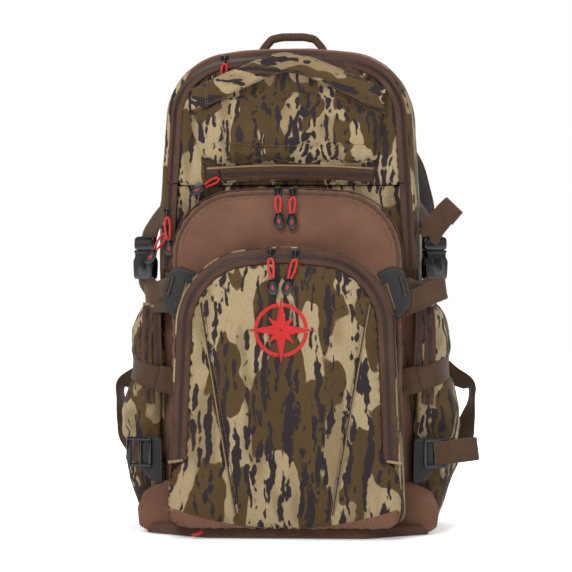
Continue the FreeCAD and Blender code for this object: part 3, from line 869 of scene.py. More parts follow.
def middle_loop(grow=0.0):
    half, top = MID_HIGH.x + grow, MID_HIGH.z + 1 * MM + grow
    right = [(half - 14 * MM, 10 * MM), (half, 26 * MM), (half, 0.300),
             (half - 16 * MM, top - 28 * MM, "mid"), (0.066, top - 3 * MM)]
    return resample(trace(mirror(right, top)), 240)


def above(loop, level):
    """The part of a loop above a level, from its right side over its top."""
    start = next(k for k, (x, z) in enumerate(loop) if x > 0 and z > level)
    count = sum(z > level for _, z in loop)
    return [loop[(start + k) % len(loop)] for k in range(count)]


def build_middle_pocket():
    """Its top falls away behind the zip, to leave room for the folded lid."""
    pocket = puff("middle_pocket_skin", middle_loop(), FRONT, MID_LOW.y - 1 * MM, 9 * MM, 2 * MM,
                  [NYLON], flare=13 * MM, fold=0.5 * MM, seed=1.0)
    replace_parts(pocket, "middle_pocket")
    for vertex in pocket.data.vertices:
        vertex.co.z = max(vertex.co.z, 0.5 * MM)
        behind = vertex.co.y - (MID_LOW.y + 19 * MM)
        if behind > 0:
            vertex.co.z = min(vertex.co.z, MID_HIGH.z + 1 * MM - 2.1 * behind)
    tree = surface(pocket)
    arch = above(inset(middle_loop(), 4 * MM), 0.17)
    tube("middle_piping", laid(tree, arch, 0.2 * MM), 1.7 * MM, DARK_NYLON)
    seam("middle_stitch", tree, [(x * 0.965, z - 4.5 * MM) for x, z in arch[6:-6]])
    over = above(inset(middle_loop(1.2 * MM), 0.4 * MM), 0.2)
    line = [(x, MID_LOW.y + 13 * MM, z) for x, z in over]
    outward = [(x, 0, max(z - 0.25, 0)) for x, z in over]
    near, *_ = zipper("middle_zip", line, outward, 15 * MM)
    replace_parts(near, "middle_pocket_zip")


# ---------------------------------------------------------------- front pocket

def build_front_pocket():
    """Gusset, arched zip and one continuous front skin that folds at the bottom of the zip."""
    loop = trace([(0.108, 12 * MM), *pocket_path(0, 20 * MM), (-0.108, 12 * MM)])
    walls = puff("front_pocket_gusset", resample(loop, 220), MID_LOW.y, POUCH_LOW.y - 2 * MM,
                 5 * MM, 0, [CAMO], flare=4 * MM, fold=0.5 * MM, rings=6, close_back=False)
    hollow_front(walls, 17 * MM, loop)
    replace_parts(walls, "front_pocket_pouch", "front_pocket_base")
    skin = build_front_skin()
    tree = surface(skin)
    line = run(trace(pocket_path(9.0 * MM, 82 * MM), closed=False), 220, 4)
    depth = POUCH_LOW.y - 5.5 * MM
    tilt = [(x * 2.2, -1, max(z - 0.24, 0) * 3) for x, z in line]
    outer, inner = opening_zip("front_zip", line, depth, tilt, "front_panel")
    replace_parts(outer, "front_zip_fixed_tape")
    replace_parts(inner, "front_zip_panel_tape")
    border = run(trace(pocket_path(0.5 * MM, 30 * MM), closed=False), 200, 3)
    tube("front_border_piping", [(x, depth + 2.5 * MM, z) for x, z in border], 1.3 * MM, CAMO)
    for side, name in SIDES:
        tack = [(side * x, depth - 1.5 * MM, z) for x, z in mm([(107.5, 83.5), (123.5, 81.5)])]
        tube("zip_tack_" + name, run(tack, 8), 1.6 * MM, PIPING)
    return skin, tree


def hollow_front(piece, margin, loop):
    """Open a stuffed panel's front inside a margin, so that only its rim is left."""
    outline = resample(loop, 160)
    data = piece.data
    keep, remap = [], {}
    for index, vertex in enumerate(data.vertices):
        x, y, z = vertex.co
        gap = np.sqrt(((outline - (x, z)) ** 2).sum(1)).min()
        if gap < margin or y > POUCH_LOW.y + 8 * MM:
            remap[index] = len(keep)
            keep.append(tuple(vertex.co))
    faces = [tuple(remap[i] for i in face.vertices) for face in data.polygons
             if all(i in remap for i in face.vertices)]
    fresh = bpy.data.meshes.new(piece.name)
    fresh.from_pydata(keep, [], faces)
    for mat in data.materials:
        fresh.materials.append(mat)
    shade_smooth(fresh)
    piece.data = fresh
    thicken(piece, 1.5 * MM)


def build_front_skin():
    """The pocket's camouflaged front, brown along its foot, with two darts pressed in."""
    foot = mm([(104, 12), (119, 16), (123.5, 30), (122, 66), (116, 77)])
    inner = trace(pocket_path(17.5 * MM, 84 * MM), closed=False)
    loop = resample(foot + inner + mirror(foot)[len(foot):], 240)
    skin = puff("front_pocket_skin", loop, POUCH_LOW.y, PANEL_LOW.y + 1.5 * MM, 9 * MM, 5 * MM,
                [CAMO_FOLDS, NYLON], None,
                lambda centre: centre.z < 11 * MM + 16 * MM * (centre.x / 0.105) ** 2,
                fold=1.7 * MM, scale=20, seed=9.0, centre=(0, 0.16), rings=44)
    press_darts(skin)
    unfolded = skin.data.attributes.new("unfolded", "FLOAT_VECTOR", "POINT")
    for vertex, kept in zip(skin.data.vertices, unfolded.data):
        kept.vector = vertex.co
    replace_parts(skin, "front_pocket_panel")
    return skin


def dart(side, share):
    """A point of the front skin's side dart: share 0 at its top, 1 at its foot."""
    return side * (0.0886 - 0.039 * share), 0.249 - 0.229 * share


def press_darts(skin):
    """Pinch the skin along its two darts."""
    lines = [np.array([dart(side, share) for share in np.linspace(0, 1, 60)])
             for side, _ in SIDES]
    for vertex in skin.data.vertices:
        x, _, z = vertex.co
        gap = min(np.sqrt(((line - (x, z)) ** 2).sum(1)).min() for line in lines)
        vertex.co.y += (2.8 * math.exp(-(gap / (2.4 * MM)) ** 2)
                        + 2.0 * math.exp(-(gap / (12 * MM)) ** 2)) * MM


def finish_front_skin(skin, tree):
    """Stitches along the darts, a painted crease shade and fold highlight beside them, which bend
    with the skin, and the badge.
    """
    bending = []
    for side, name in SIDES:
        line = [dart(side, share) for share in np.linspace(0.0, 0.97, 40)]
        bending.append(seam("dart_stitch_" + name, tree,
                            [(x - side * 3 * MM, z) for x, z in line], None))
        # On each dart's seam a dark line is painted shade in its crease; beside it a tan line is
        # a painted highlight along the fold.
        for label, along, radius, mat in (("seam", 0.0, 0.6, COIL), ("fold", 1.4, 0.55, PIPING)):
            edge = laid(tree, [(x + side * along * MM, z) for x, z in line], 1.2 * MM)
            bending.append(tube(f"dart_{label}_{name}", soften(np.array(edge), 5, closed=False),
                                radius * MM, mat, None, "camo_fabric"))
    for piece in bending + [skin]:
        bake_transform(piece)
    build_badge(tree)
    build_trim(tree)


def patch(name, outlines, tree, lift):
    """A thin raised embroidered shape made of convex outlines laid on the surface."""
    points, faces = [], []
    for outline in outlines:
        base, count = len(points), len(outline)
        middle = np.mean(outline, axis=0)
        for raise_by, shrink in ((0.0, 1.0), (lift, 0.96)):
            points += laid(tree, middle + (np.array(outline) - middle) * shrink, raise_by)
        faces.append(tuple(base + count + k for k in range(count)))
        for k in range(count):
            following = (k + 1) % count
            faces.append((base + k, base + following, base + count + following,
                          base + count + k))
    make(name, points, faces, [SATIN], "front_panel", smooth=False)


def build_boots():
    """Brown corners that wrap the bag's foot on each side of the front pocket."""
    shape = mm([(112, 2), (151, 2), (161, 8), (163, 28), (155, 46), (136, 56), (112, 58)])
    stitches = mm([(158, 10), (159, 27), (151, 44), (135, 52)])
    for side, name in SIDES:
        boot = puff("boot_" + name, rounded([(side * x, z) for x, z in shape], 0.2, 5), -0.026,
                    -0.050, 7 * MM, 1 * MM, [NYLON], fold=0.6 * MM, seed=side * 3.0)
        seam("boot_stitch_" + name, surface(boot), [(side * x, z) for x, z in stitches])
    band = [(x, -0.0905 + 0.030 * max(abs(x) - 0.085, 0) / 0.045, 0.0062)
            for x in np.linspace(-0.150, 0.150, 60)]
    ribbon("foot_band", band, (0, -1, 0.25), 11 * MM, DARK_NYLON, thick=3.0 * MM)
    tag = mm([(-98.5, -94.5, 4.0), (-95.0, -96.5, 4.6), (-90.5, -96.0, 6.2), (-88.0, -94.0, 8.5)])
    tube("foot_tag", run(tag, 12), 1.7 * MM, RED)


def build_trim(tree):
    """The brown fabric along the front pocket's foot, laid in rows from its lower edge up."""
    x = np.linspace(-0.1195, 0.1195, 60)
    high = [(a, 12.5 * MM + 18 * MM * (a / 0.108) ** 2) for a in x]
    low = run([(a * 0.985, 12.6 * MM + 5 * MM * max(abs(a) / 0.11 - 0.93, 0) / 0.15)
               for a in x], 80)
    rise, rows = run(high, 80) - low, 7
    rings = [laid(tree, low + rise * (level / rows),
                  1.5 * MM * min(level, rows - level, 1) - 0.4 * MM, PANEL_LOW.y + 8 * MM)
             for level in range(rows + 1)]
    make("front_pocket_trim", flat(rings), loft(rings, closed=False), [NYLON])
    seam("trim_stitch", tree, [(a, b - 2 * MM) for a, b in high[4:-4]], lift=1.4 * MM)


RING_PARTS = 64


def build_badge(tree):
    """A generic embroidered badge: an eight-pointed compass star in a broken ring."""
    centre = np.array((-3 * MM, 0.222))
    kites = []
    for turn in range(8):
        angle = turn * math.pi / 4
        reach, waist = (36 * MM, 7.0 * MM) if turn % 2 == 0 else (20 * MM, 5.4 * MM)
        out = np.array((math.sin(angle), math.cos(angle)))
        over = np.array((out[1], -out[0]))
        for hand in (-1, 1):
            edge = centre + out * waist + over * hand * waist * 0.72
            kites.append([centre + out * 0.5 * MM, edge, centre + out * reach])
    patch("badge_star", kites, tree, 1.1 * MM)
    ring = []
    for number in range(RING_PARTS):
        if number % 16 in (0, 15):
            continue
        corners = []
        for radius, part in ((24.5, 0), (24.5, 1), (28.5, 1), (28.5, 0)):
            angle = (number + part) * 2 * math.pi / RING_PARTS
            corners.append(centre + np.array((math.sin(angle), math.cos(angle))) * radius * MM)
        ring.append(corners)
    patch("badge_ring", ring, tree, 0.9 * MM)


# ---------------------------------------------------------------- side pockets and straps

# How far out the side pocket reaches in mm, at levels in mm.
SIDE_LEVELS = (9, 30, 52, 78, 126, 169, 221, 252, 272)
SIDE_REACH = (156, 163, 171, 184, 181, 175, 169, 162, 150)
STRAP_LEVELS = (0.088, 0.176, 0.254)


def side_ring(z, count=56, grow=0.0):
    """The side pocket's section at a level, from its front seam round to its back seam.

    It is pulled in under each strap.
    """
    inner = SIDE_LOW.x - 2 * MM
    ends = min((z - SIDE_LOW.z) / 0.03, (SIDE_HIGH.z - z) / 0.03, 1)
    tuck = 1 - 0.12 * (1 - max(ends, 0)) ** 2
    middle = (SIDE_LOW.y + SIDE_HIGH.y) / 2
    half = (SIDE_HIGH.y - SIDE_LOW.y) / 2 * tuck + grow
    pull = sum(4 * MM * math.exp(-((z - level) / (15 * MM)) ** 2) for level in STRAP_LEVELS)
    out = np.interp(z / MM, SIDE_LEVELS, SIDE_REACH) * MM - pull + grow
    ring = []
    for turn in np.linspace(-math.pi / 2, math.pi / 2, count):
        depth = math.copysign(abs(math.sin(turn)) ** 0.9, math.sin(turn))
        ring.append((inner + (out - inner) * abs(math.cos(turn)) ** 0.55, middle + half * depth,
                     z))
    return ring


def build_side_pocket(side, name):
    """A stuffed, creased pocket, narrower at its foot and top, with its zips and straps."""
    inner, middle = SIDE_LOW.x + 0.014, 0.021
    rings = []
    for z in np.linspace(SIDE_LOW.z + 0.5 * MM, SIDE_HIGH.z, 90):
        ends = min((z - SIDE_LOW.z) / 0.012, (SIDE_HIGH.z - z) / 0.012, 1)
        shrink = math.sqrt(max(1 - (1 - ends) ** 2, 0)) if ends < 1 else 1
        ring = []
        for x, y, level in side_ring(z):
            x = inner + (x - inner) * (0.5 + 0.5 * shrink)
            y = middle + (y - middle) * (0.8 + 0.2 * shrink)
            push = max(x - SIDE_LOW.x, 0) / 0.04
            crease = wavy((x, y * 0.6, level), 32, 12.0 * side, 1.5)
            fine = wavy((x, y, level), 75, 4.0 * side, 1.3)
            x += (crease * 3.6 + fine * 1.2) * MM * min(push, 1)
            y += (crease * 1.6 - fine * 1.0) * MM * (1 if y < 0.02 else -1)
            ring.append((side * x, y, level))
        rings.append(ring)
    pocket = make(f"side_pocket_{name}_skin", *capped(rings), [CAMO])
    plump(pocket, lambda at: abs(at[0]) < SIDE_LOW.x + 3 * MM
          or min(abs(at[2] - level) for level in STRAP_LEVELS) < 9 * MM, 5.0, 5 * MM, 0.07)
    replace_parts(pocket, "side_pocket_" + name)
    build_side_zips(side, name, surface(pocket))
    build_compression(side, name)


def build_side_zips(side, name, tree):
    low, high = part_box("side_pocket_zips")
    for number, (x, z_low, z_high, width) in enumerate(
            ((0.1505, low.z, high.z, 13 * MM), (0.1395, low.z + 0.03, high.z - 2 * MM, 11 * MM))):
        path = [(side * (x + 3 * MM * math.sin((z - z_low) * 26)), z)
                for z in np.linspace(z_low, z_high, 40)]
        line = laid(tree, path, 1.5 * MM, SIDE_LOW.y)
        near, *_ = zipper(f"side_zip_{name}_{number}", line, (0.35 * side, -1, 0), width)
        if side > 0 and number == 0:
            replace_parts(near, "side_pocket_zips")
        end = [Vector(line[-1]) + Vector((side * across * MM, -1.2 * MM, 1.5 * MM))
               for across in (-6, 0, 6)]
        tube(f"side_zip_tack_{name}_{number}", end, 1.7 * MM, PIPING)


def wrap(name, side, start, level, drop, width):
    """Webbing from a place on the front round the side pocket to its back."""
    line = [(side * start[0], *start[1:])]
    for number, (x, y, z) in enumerate(side_ring(level, 60, 2.2 * MM)[3:-3]):
        line.append((side * x, y - (1.2 * MM if y < 0 else 0), z - drop * min(number / 20, 1)))
    line = run(line, 90, 3)
    facing = line - (side * SIDE_LOW.x, 0.02, level)
    facing[:, 2] = 0
    facing[:4] = (side * 0.2, -1, 0)
    return ribbon(name, line, facing, width, hollow=0.6 * MM)


def build_compression(side, name):
    """The three straps round a side pocket, and on the right the loose ends of two."""
    upper = wrap("strap_upper_" + name, side, (0.124, -0.0600, 0.254), 0.254, 0.003,
                 (31 if side < 0 else 26) * MM)
    wrap("strap_middle_" + name, side, (0.128, -0.0480, 0.166), 0.170, -0.011, STRAP_WIDE)
    wrap("strap_lower_" + name, side, (0.150, -0.0455, 0.088), 0.088, 0.0, STRAP_WIDE)
    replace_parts(upper, "compression_straps_" + name)
    if side > 0:
        folded("strap_loop_right", [
            (124, -60, 247), (136, -62, 252), (150, -61, 258), (162, -56, 263.5),
            (169, -48, 266), (170, -41, 266), (163, -38, 263), (152, -41, 259)], 24 * MM)
        folded("strap_tail_right", [
            (158, -50.5, 88), (176, -54, 90), (196, -53, 92.5), (203.5, -50, 93.5),
            (204.5, -47, 93.5), (202, -44.5, 93), (186, -45.5, 91.5)], STRAP_WIDE)
    stub = [(side * x, y, z) for x, y, z in mm([(124, -50, 164), (133, -50.5, 166),
                                                (141, -49, 168)])]
    ribbon("strap_stub_" + name, run(stub, 12), (0.25 * side, -1, 0), 29 * MM, thick=2.4 * MM)


def folded(name, path, width, across=(-0.12, 0.0, 1.0), count=60, body="pack"):
    """A loose webbing end, doubled back; across is the direction of its width."""
    line = run(mm(path), count, 3)
    way = np.gradient(line, axis=0)
    ribbon(name, line, np.cross(way, across), width, body=body)


# ---------------------------------------------------------------- hard parts

def plate(name, outline, thick, place, bevel=0.7 * MM, mat=BUCKLE, body="pack", slot=None):
    """A flat moulded shape from an outline in its own x and z, with bevelled edges."""
    count = len(outline)
    points = [(x, -thick / 2, z) for x, z in outline] + [(x, thick / 2, z) for x, z in outline]
    faces = [tuple(range(count)), tuple(reversed(range(count, 2 * count)))]
    faces += [(k, k + count, (k + 1) % count + count, (k + 1) % count) for k in range(count)]
    piece = make(name, points, faces, [mat], body, slot, smooth=False)
    modifier = piece.modifiers.new("edge", "BEVEL")
    modifier.width, modifier.segments, modifier.limit_method = bevel, 3, "ANGLE"
    apply_modifiers(piece)
    piece.data.transform(place)
    shade_smooth(piece.data)
    piece.data.set_sharp_from_angle(angle=math.radians(40))
    return piece


def rounded(points, share=0.25, steps=4):
    """An outline with its corners rounded off by part of each neighbouring edge."""
    line = np.array(points, float)
    out = []
    for before, at, after in zip(np.roll(line, 1, 0), line, np.roll(line, -1, 0)):
        start, end = at + (before - at) * share, at + (after - at) * share
        for t in np.linspace(0, 1, steps):
            out.append(tuple((1 - t) ** 2 * start + 2 * t * (1 - t) * at + t * t * end))
    return out


def rectangle(x_low, z_low, x_high, z_high):
    return [(x_low, z_low), (x_high, z_low), (x_high, z_high), (x_low, z_high)]


def build_hypalon():
    """Rubbery tabs at the straps' front ends, stitched on; the upper ones have a slot."""
    upper = mm([(96, 282), (113, 289), (125, 285), (133, 262), (133, 247), (120, 231),
                (114, 235), (107, 262)])
    lower = mm([(135, 54), (147, 57), (157, 66), (157, 97), (152, 105), (136, 104)])
    cut = mm([(121.5, 278.5), (124.5, 268), (127.5, 257)])
    inlay = mm([(103.5, 270), (108, 256), (112.5, 242)])
    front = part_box("hypalon_tabs")[0].y
    pieces = []
    for side, name in SIDES:
        for label, shape, y in (("upper", upper, front + 1.6 * MM), ("lower", lower, -0.0475)):
            outline = rounded([(side * x, z) for x, z in shape], 0.16)
            pieces.append(plate(f"hypalon_{label}_{name}", outline, 2.6 * MM,
                                Matrix.Translation((0, y, 0)), mat=HYPALON))
            rim = np.array(outline + outline[:1])
            middle = rim[:-1].mean(0)
            row = [(x, y - 1.35 * MM, z) for x, z in middle + (rim - middle) * 0.88]
            stitch_row(f"hypalon_stitch_{label}_{name}", row, thick=0.3 * MM)
        for label, route, count, wide, thick, lift, mat in (
                ("slot_frame", cut, 8, 4.4, 1.0, 0.0, BUCKLE),
                ("slot_web", cut, 8, 2.4, 1.0, 0.3, WEBBING),
                ("inset_edge", inlay, 20, 8.4, 1.2, 0.9, PIPING),
                ("inset_web", inlay, 20, 7.0, 1.2, 1.4, WEBBING)):
            line = [(side * x, front - lift * MM, z) for x, z in route]
            ribbon(f"hypalon_{label}_{name}", run(line, count), (0, -1, 0), wide * MM, mat,
                   thick=thick * MM, slot="webbing")
    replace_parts(pieces[0], "hypalon_tabs")


BUCKLE_SHELL = [(-13, -16), (13, -16), (14.5, -12), (15.5, 4), (12.5, 8), (12.5, 12), (15, 16),
                (-15, 16), (-12.5, 12), (-12.5, 8), (-15.5, 4), (-14.5, -12)]
BUCKLE_BOSS = [(-7, -11), (7, -11), (8, 8), (-8, 8)]
BUCKLE_PRONG = [(13.2, -3), (15.8, -1), (16.2, 6), (13, 9)]
BUCKLE_HEAD = [(-14, 15.6), (14, 15.6), (16, 20), (15, 31), (-15, 31), (-16, 20)]


def build_buckles():
    """Side-release buckles: a hollow body below and a pronged clip that slides out upwards."""
    for side, name in SIDES:
        low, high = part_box("buckle_female_" + name)
        base = np.array((low + high) / 2)
        turn = side * math.radians(40)
        place = Matrix.Translation(base) @ Matrix.Rotation(turn, 4, "Z")
        stretch = (high.z - low.z) / 0.032
        clip = "buckle_" + name

        def moulded(label, outline, thick, bevel, body=clip, mat=BUCKLE):
            return plate(f"buckle_{label}_{name}", rounded(mm(outline), 0.3), thick * MM, place,
                         bevel * MM, mat, body)

        shell = moulded("body", [(x, z * stretch) for x, z in BUCKLE_SHELL], 9, 1.8, "pack")
        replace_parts(shell, "buckle_female_" + name)
        moulded("boss", BUCKLE_BOSS, 10.4, 1.2, "pack")
        for hand in (-1, 1):
            moulded("prong_inner" if hand * side < 0 else "prong_outer",
                    [(hand * x, z) for x, z in BUCKLE_PRONG], 4.5, 0.8)
        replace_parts(moulded("clip", BUCKLE_HEAD, 6, 1.3), "buckle_male_" + name)
        moulded("slot", rectangle(-12.5, 23, 12.5, 27), 7, 0.5, mat=WEBBING_DARK)
        front = np.array((math.sin(turn), -math.cos(turn), 0))
        down = [base + (0, 0, -10 * MM), base + (0, 0, -18 * MM), (side * 0.1480, -0.030, 0.262),
                (side * 0.1400, -0.046, 0.262), (side * 0.1270, -0.0615, 0.267)]
        turn_in = [tuple(front * (1 - share) + np.array((side * 0.2, -1, 0.2)) * share)
                   for share in np.linspace(0, 1, 40)]
        ribbon("buckle_lower_strap_" + name, run(down, 40, 4), turn_in, 22 * MM)
        up = [base + (0, 0, rise * MM) - front * out * MM
              for rise, out in ((24, 3.5), (38, 8), (56, 24), (70, 40))]
        ribbon("buckle_upper_strap_" + name, run(up, 24, 3), front, 24 * MM, body=clip)
    folded("buckle_tail_right", [
        (150, -16, 318), (158, -20, 331), (170, -24, 346), (178.5, -24, 354), (180, -21, 355),
        (178, -18, 353), (168, -17, 341)], STRAP_WIDE, (-0.75, 0.15, 0.72), 50, "buckle_right")


# The bars of a ladder lock in mm: middle x and z, width and height.
LADDER_BARS = {"top": (0, 14, 27, 4), "foot": (0, -14, 27, 4), "near": (-12, 0, 3.6, 27),
               "middle": (-1, 0, 3.4, 27), "far": (12, 0, 4.6, 27)}


def build_ladder_locks():
    """A three-bar slide at each lower strap."""
    low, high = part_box("lower_ladder_locks")
    bars = []
    for side, name in SIDES:
        centre = Vector((side * (high.x - 14 * MM), (low.y + high.y) / 2, (low.z + high.z) / 2))
        place = Matrix.Translation(centre) @ Matrix.Rotation(side * math.radians(14), 4, "Z")
        for part, (x, z, wide, tall) in LADDER_BARS.items():
            outline = rectangle((x - wide / 2) * side, z - tall / 2, (x + wide / 2) * side,
                                z + tall / 2)
            bars.append(plate(f"ladder_{part}_{name}", rounded(mm(outline), 0.2), 3.6 * MM,
                              place, 0.8 * MM))
    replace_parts(bars[0], "lower_ladder_locks")


def build_handle():
    low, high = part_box("grab_handle")
    half, top = high.x - 4 * MM, high.z - 3.6 * MM
    y = (low.y + high.y) / 2
    right = [(12 * MM, top), (half - 13 * MM, top - 2.5 * MM), (half - 4 * MM, low.z + 7 * MM),
             (half, low.z - 2 * MM)]
    path = [(x, y, z) for x, z in [(-x, z) for x, z in reversed(right)] + right]
    line = run(path, 70, 3)
    out = (line - (0, y, low.z - 6 * MM)) * (0.35, 0, 1)
    grip = ribbon("handle_webbing", line, out, 13 * MM, body="handle", thick=8.0 * MM)
    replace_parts(grip, "grab_handle")
    for side, name in SIDES:
        row = [(x, y + side * 4.5 * MM, z + 3.4 * MM) for x, _, z in line[16:-16]]
        stitch_row("handle_stitch_" + name, row, "handle", facing=(0, 0, 1))


# ---------------------------------------------------------------- back and shoulder straps

def build_back_pads():
    """Two long mesh pads and a lumbar pad, each with a piped edge."""
    low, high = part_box("back_pads")
    long_pad = mm([(28, 150), (96, 150), (100, 180), (100, 400), (84, 430), (28, 430)])
    shapes = [(name, [(side * x, z) for x, z in long_pad]) for side, name in SIDES]
    shapes.append(("lumbar", mm([(-96, 40), (96, 40), (104, 60), (100, 130), (-100, 130),
                                 (-104, 60)])))
    pads = []
    for name, outline in shapes:
        loop = rounded(outline, 0.2, 6)
        pad = puff("back_pad_" + name, loop, low.y + 3 * MM, high.y - 1 * MM, 8 * MM, 2 * MM,
                   [MESH], fold=0.5 * MM)
        plump(pad, lambda at: at[1] < low.y + 5 * MM, 3.0, 2 * MM)
        edge = resample(loop, 120)
        tube("back_pad_piping_" + name,
             [(x, low.y + 4 * MM, z) for x, z in np.vstack([edge, edge[:1]])], 2.0 * MM,
             DARK_NYLON, facing=(0, 1, 0.01))
        pads.append(pad)
    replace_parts(pads[0], "back_pads")


HALF_PAD = [(-0.5, 0.0), (-0.47, 0.3), (-0.36, 0.46), (-0.18, 0.5), (0, 0.5), (0.18, 0.5),
            (0.36, 0.46), (0.47, 0.3)]
PAD_PROFILE = HALF_PAD + [(-u, -v) for u, v in HALF_PAD]
PAD_STEPS = 110
PAD_TURN_STEPS = 22


def build_shoulder_strap(side, name):
    """A padded strap that leaves the back near its top and curves outwards as it falls."""
    body = "strap_" + name
    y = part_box("shoulder_strap_" + name)[1].y - 6.5 * MM
    path = [(62, 101, 478, 44), (62, 112, 479, 48), (64, 122, 474, 54), (82, y / MM, 452, 50),
            (104, y / MM, 422, 52), (120, y / MM, 392, 54), (129, y / MM, 352, 56),
            (127, y / MM, 310, 48), (127, y / MM, 284, 38), (127, y / MM, 269, 30)]
    route = np.array([(side * x * MM, depth * MM, z * MM) for x, depth, z, _ in path])
    lengths = np.r_[0, np.cumsum(np.linalg.norm(np.diff(route, axis=0), axis=1))]
    share = np.linspace(0, 1, PAD_STEPS)
    widths = np.interp(share, lengths / lengths[-1], [wide * MM for *_, wide in path])
    thick = np.interp(share, (0, 0.12, 0.9, 1), (8 * MM, 12 * MM, 12 * MM, 9 * MM))
    turned = [min(number / PAD_TURN_STEPS, 1) for number in range(PAD_STEPS)]
    facing = [(0, 0.35 + 0.65 * part, 1 - part) for part in turned]
    centre, _, over, up = frames(run(route, PAD_STEPS, 6), facing)
    rings = [[at + across * u * wide + out * (v * deep + 0.4 * MM * wavy(at * 1.5, 40))
              for u, v in PAD_PROFILE]
             for at, across, out, wide, deep in zip(centre, over, up, widths, thick)]
    pad = make("shoulder_pad_" + name, *capped(rings), [MESH], body)
    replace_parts(pad, "shoulder_strap_" + name)
    for hand, label in ((-1, "inner"), (1, "outer")):
        edge = centre + over * hand * widths[:, None] * 0.5
        tube(f"shoulder_edge_{name}_{label}", edge, 1.9 * MM, DARK_NYLON, body,
             facing=(0, 1, 0.01))
    face = centre + up * (thick[:, None] * 0.5 + 0.9 * MM)
    ribbon("shoulder_face_" + name, face[12:-6], up[12:-6], 22 * MM, body=body, thick=1.8 * MM)
    build_shoulder_webbing(side, name, y)


def build_shoulder_webbing(side, name, y):
    """Lower webbing from the strap's end out round the side and back to the bag's foot."""
    path = [(127, y / MM, 290), (128, y / MM - 2, 262), (134, 118, 224), (150, 108, 188),
            (180, 103, 163), (202, 102, 152), (200, 102, 130), (195, 102, 110), (193, 103, 94),
            (182, 102, 78), (160, 102, 76), (137, 101, 76)]
    line = run(mm([(side * x, depth, z) for x, depth, z in path]), 120, 5)
    facing = []
    for number in range(120):
        spin = math.radians(10 + 65 * math.exp(-((number - 74) / 13) ** 2))
        facing.append((side * math.sin(spin), math.cos(spin), 0.15))
    piece = ribbon("shoulder_lower_" + name, line, facing, 22 * MM, body=None)
    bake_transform(piece)
    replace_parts(piece, "shoulder_webbing_" + name)


# ---------------------------------------------------------------- zip pulls

# Each pull: how far its cord reaches below the bail in mm, and its lean from straight down.
PULLS = {"main_upper": (24, 4), "main_lower": (20, -32), "upper_pocket": (17, -62),
         "middle_left": (17, 3), "middle_right": (17, -2), "front_left": (21, 5),
         "front_right": (21, -16), "top": (17, -4)}

# The cord of a pull is a slim loop: across in mm and below by share, from the tab and back.
LOOP = [(-1.4, 1.0), (-2.3, 0.72), (-2.9, 0.44), (-2.6, 0.2), (-1.4, 0.03),
        (1.4, 0.0), (2.6, 0.18), (2.9, 0.42), (2.3, 0.7), (1.4, 1.0)]
CORD = 2.5 * MM
SLIDER = [(-4.3, 5.5), (4.3, 5.5), (4.5, 1.5), (3.4, -2.2), (3.4, -5.5), (-3.4, -5.5),
          (-3.4, -2.2), (-4.5, 1.5)]
TAB = [(-2.6, 0), (2.6, 0), (5.5, -8), (5.5, -12.6), (2.6, -18), (-2.6, -18), (-5.5, -12.6),
       (-5.5, -8)]
TAB_MIDDLE = -9.6


def build_pull(name, reach, lean):
    """A slider with its bail, and the cord and grip that hang from it."""
    low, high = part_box("slider_" + name)
    cord_low, cord_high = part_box("pull_cord_" + name)
    x, z = (low.x + high.x) / 2, (low.z + high.z) / 2
    hang = (cord_low.y + cord_high.y) / 2
    lean = math.radians(lean)
    slide = "slide_" + name
    swing = slide if name == "top" else "pull_" + name
    back = high.y
    body = plate("slider_body_" + name, rounded(mm(SLIDER), 0.3), 3.8 * MM,
                 Matrix.Translation((x, back - 2 * MM, z)), 1.1 * MM, METAL, slide)
    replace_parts(body, "slider_" + name)
    bail = [(x, y, z + rise * MM) for y, rise in (
        (back - 3.4 * MM, 4), (hang + 0.2 * MM, 2.6), (hang - 1.2 * MM, -0.5),
        (hang + 0.2 * MM, -3.5), (back - 3.4 * MM, -4.4))]
    tube("slider_bail_" + name, run(bail, 24, 2), 1.0 * MM, METAL, slide, facing=(1, 0, 0.01))

    def place_at(across, below):
        top = z - 4.5 * MM
        return Vector((x + across * math.cos(lean) + below * math.sin(lean), hang,
                       top + across * math.sin(lean) - below * math.cos(lean)))

    points = [place_at(across * MM, share * reach * MM) for across, share in LOOP]
    curve = bpy.data.curves.new("cord_" + name, "CURVE")
    curve.dimensions = "3D"
    curve.bevel_depth = CORD / 2
    curve.bevel_resolution = 3
    curve.resolution_u = 12
    curve.use_fill_caps = True
    curve.materials.append(RED)
    spline = curve.splines.new("NURBS")
    spline.points.add(len(points) - 1)
    for number, point in enumerate(points):
        spline.points[number].co = (*point, 1)
    spline.order_u = 3
    spline.use_endpoint_u = True
    cord = add_object("cord_" + name, curve)
    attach(cord, swing)
    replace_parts(cord, "pull_cord_" + name)
    tab = build_tab(name, place_at(0, reach * MM), lean, swing)


def build_tab(name, hold, lean, body):
    """A moulded grip with a raised rim and a small red mark."""
    size = 0.55 if name == "top" else 1.0
    outline = rounded(mm([(x, z * size) for x, z in TAB]), 0.25)
    place = Matrix.Translation(hold) @ Matrix.Rotation(-lean, 4, "Y")
    rim = plate("tab_" + name, outline, 3.4 * MM, place, 1.0 * MM, METAL, body, "pull_rubber")
    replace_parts(rim, "pull_tab_" + name)
    middle = np.array((0, TAB_MIDDLE * size * MM))
    inner = [tuple(middle + (np.array(point) - middle) * 0.68) for point in outline]
    plate("tab_face_" + name, inner, 4.0 * MM, place, 0.4 * MM, RUBBER, body)
    mark = mm([(x, (z + TAB_MIDDLE) * size) for x, z in ((0, 3.4), (1.5, 0), (0, -3.4),
                                                         (-1.5, 0))])
    plate("tab_mark_" + name, mark, 4.4 * MM, place, 0.15 * MM, RED, body)
    return rim


# ---------------------------------------------------------------- stage

# Each light: place, size in metres and power in watts.
LIGHTS = {"key": ((-0.7, -1.9, 1.8), 0.9, 40), "fill": ((1.2, -1.9, 0.7), 1.2, 5),
          "top": ((0.1, -0.2, 2.0), 1.1, 16), "rim": ((0.9, 1.7, 1.3), 1.1, 14)}


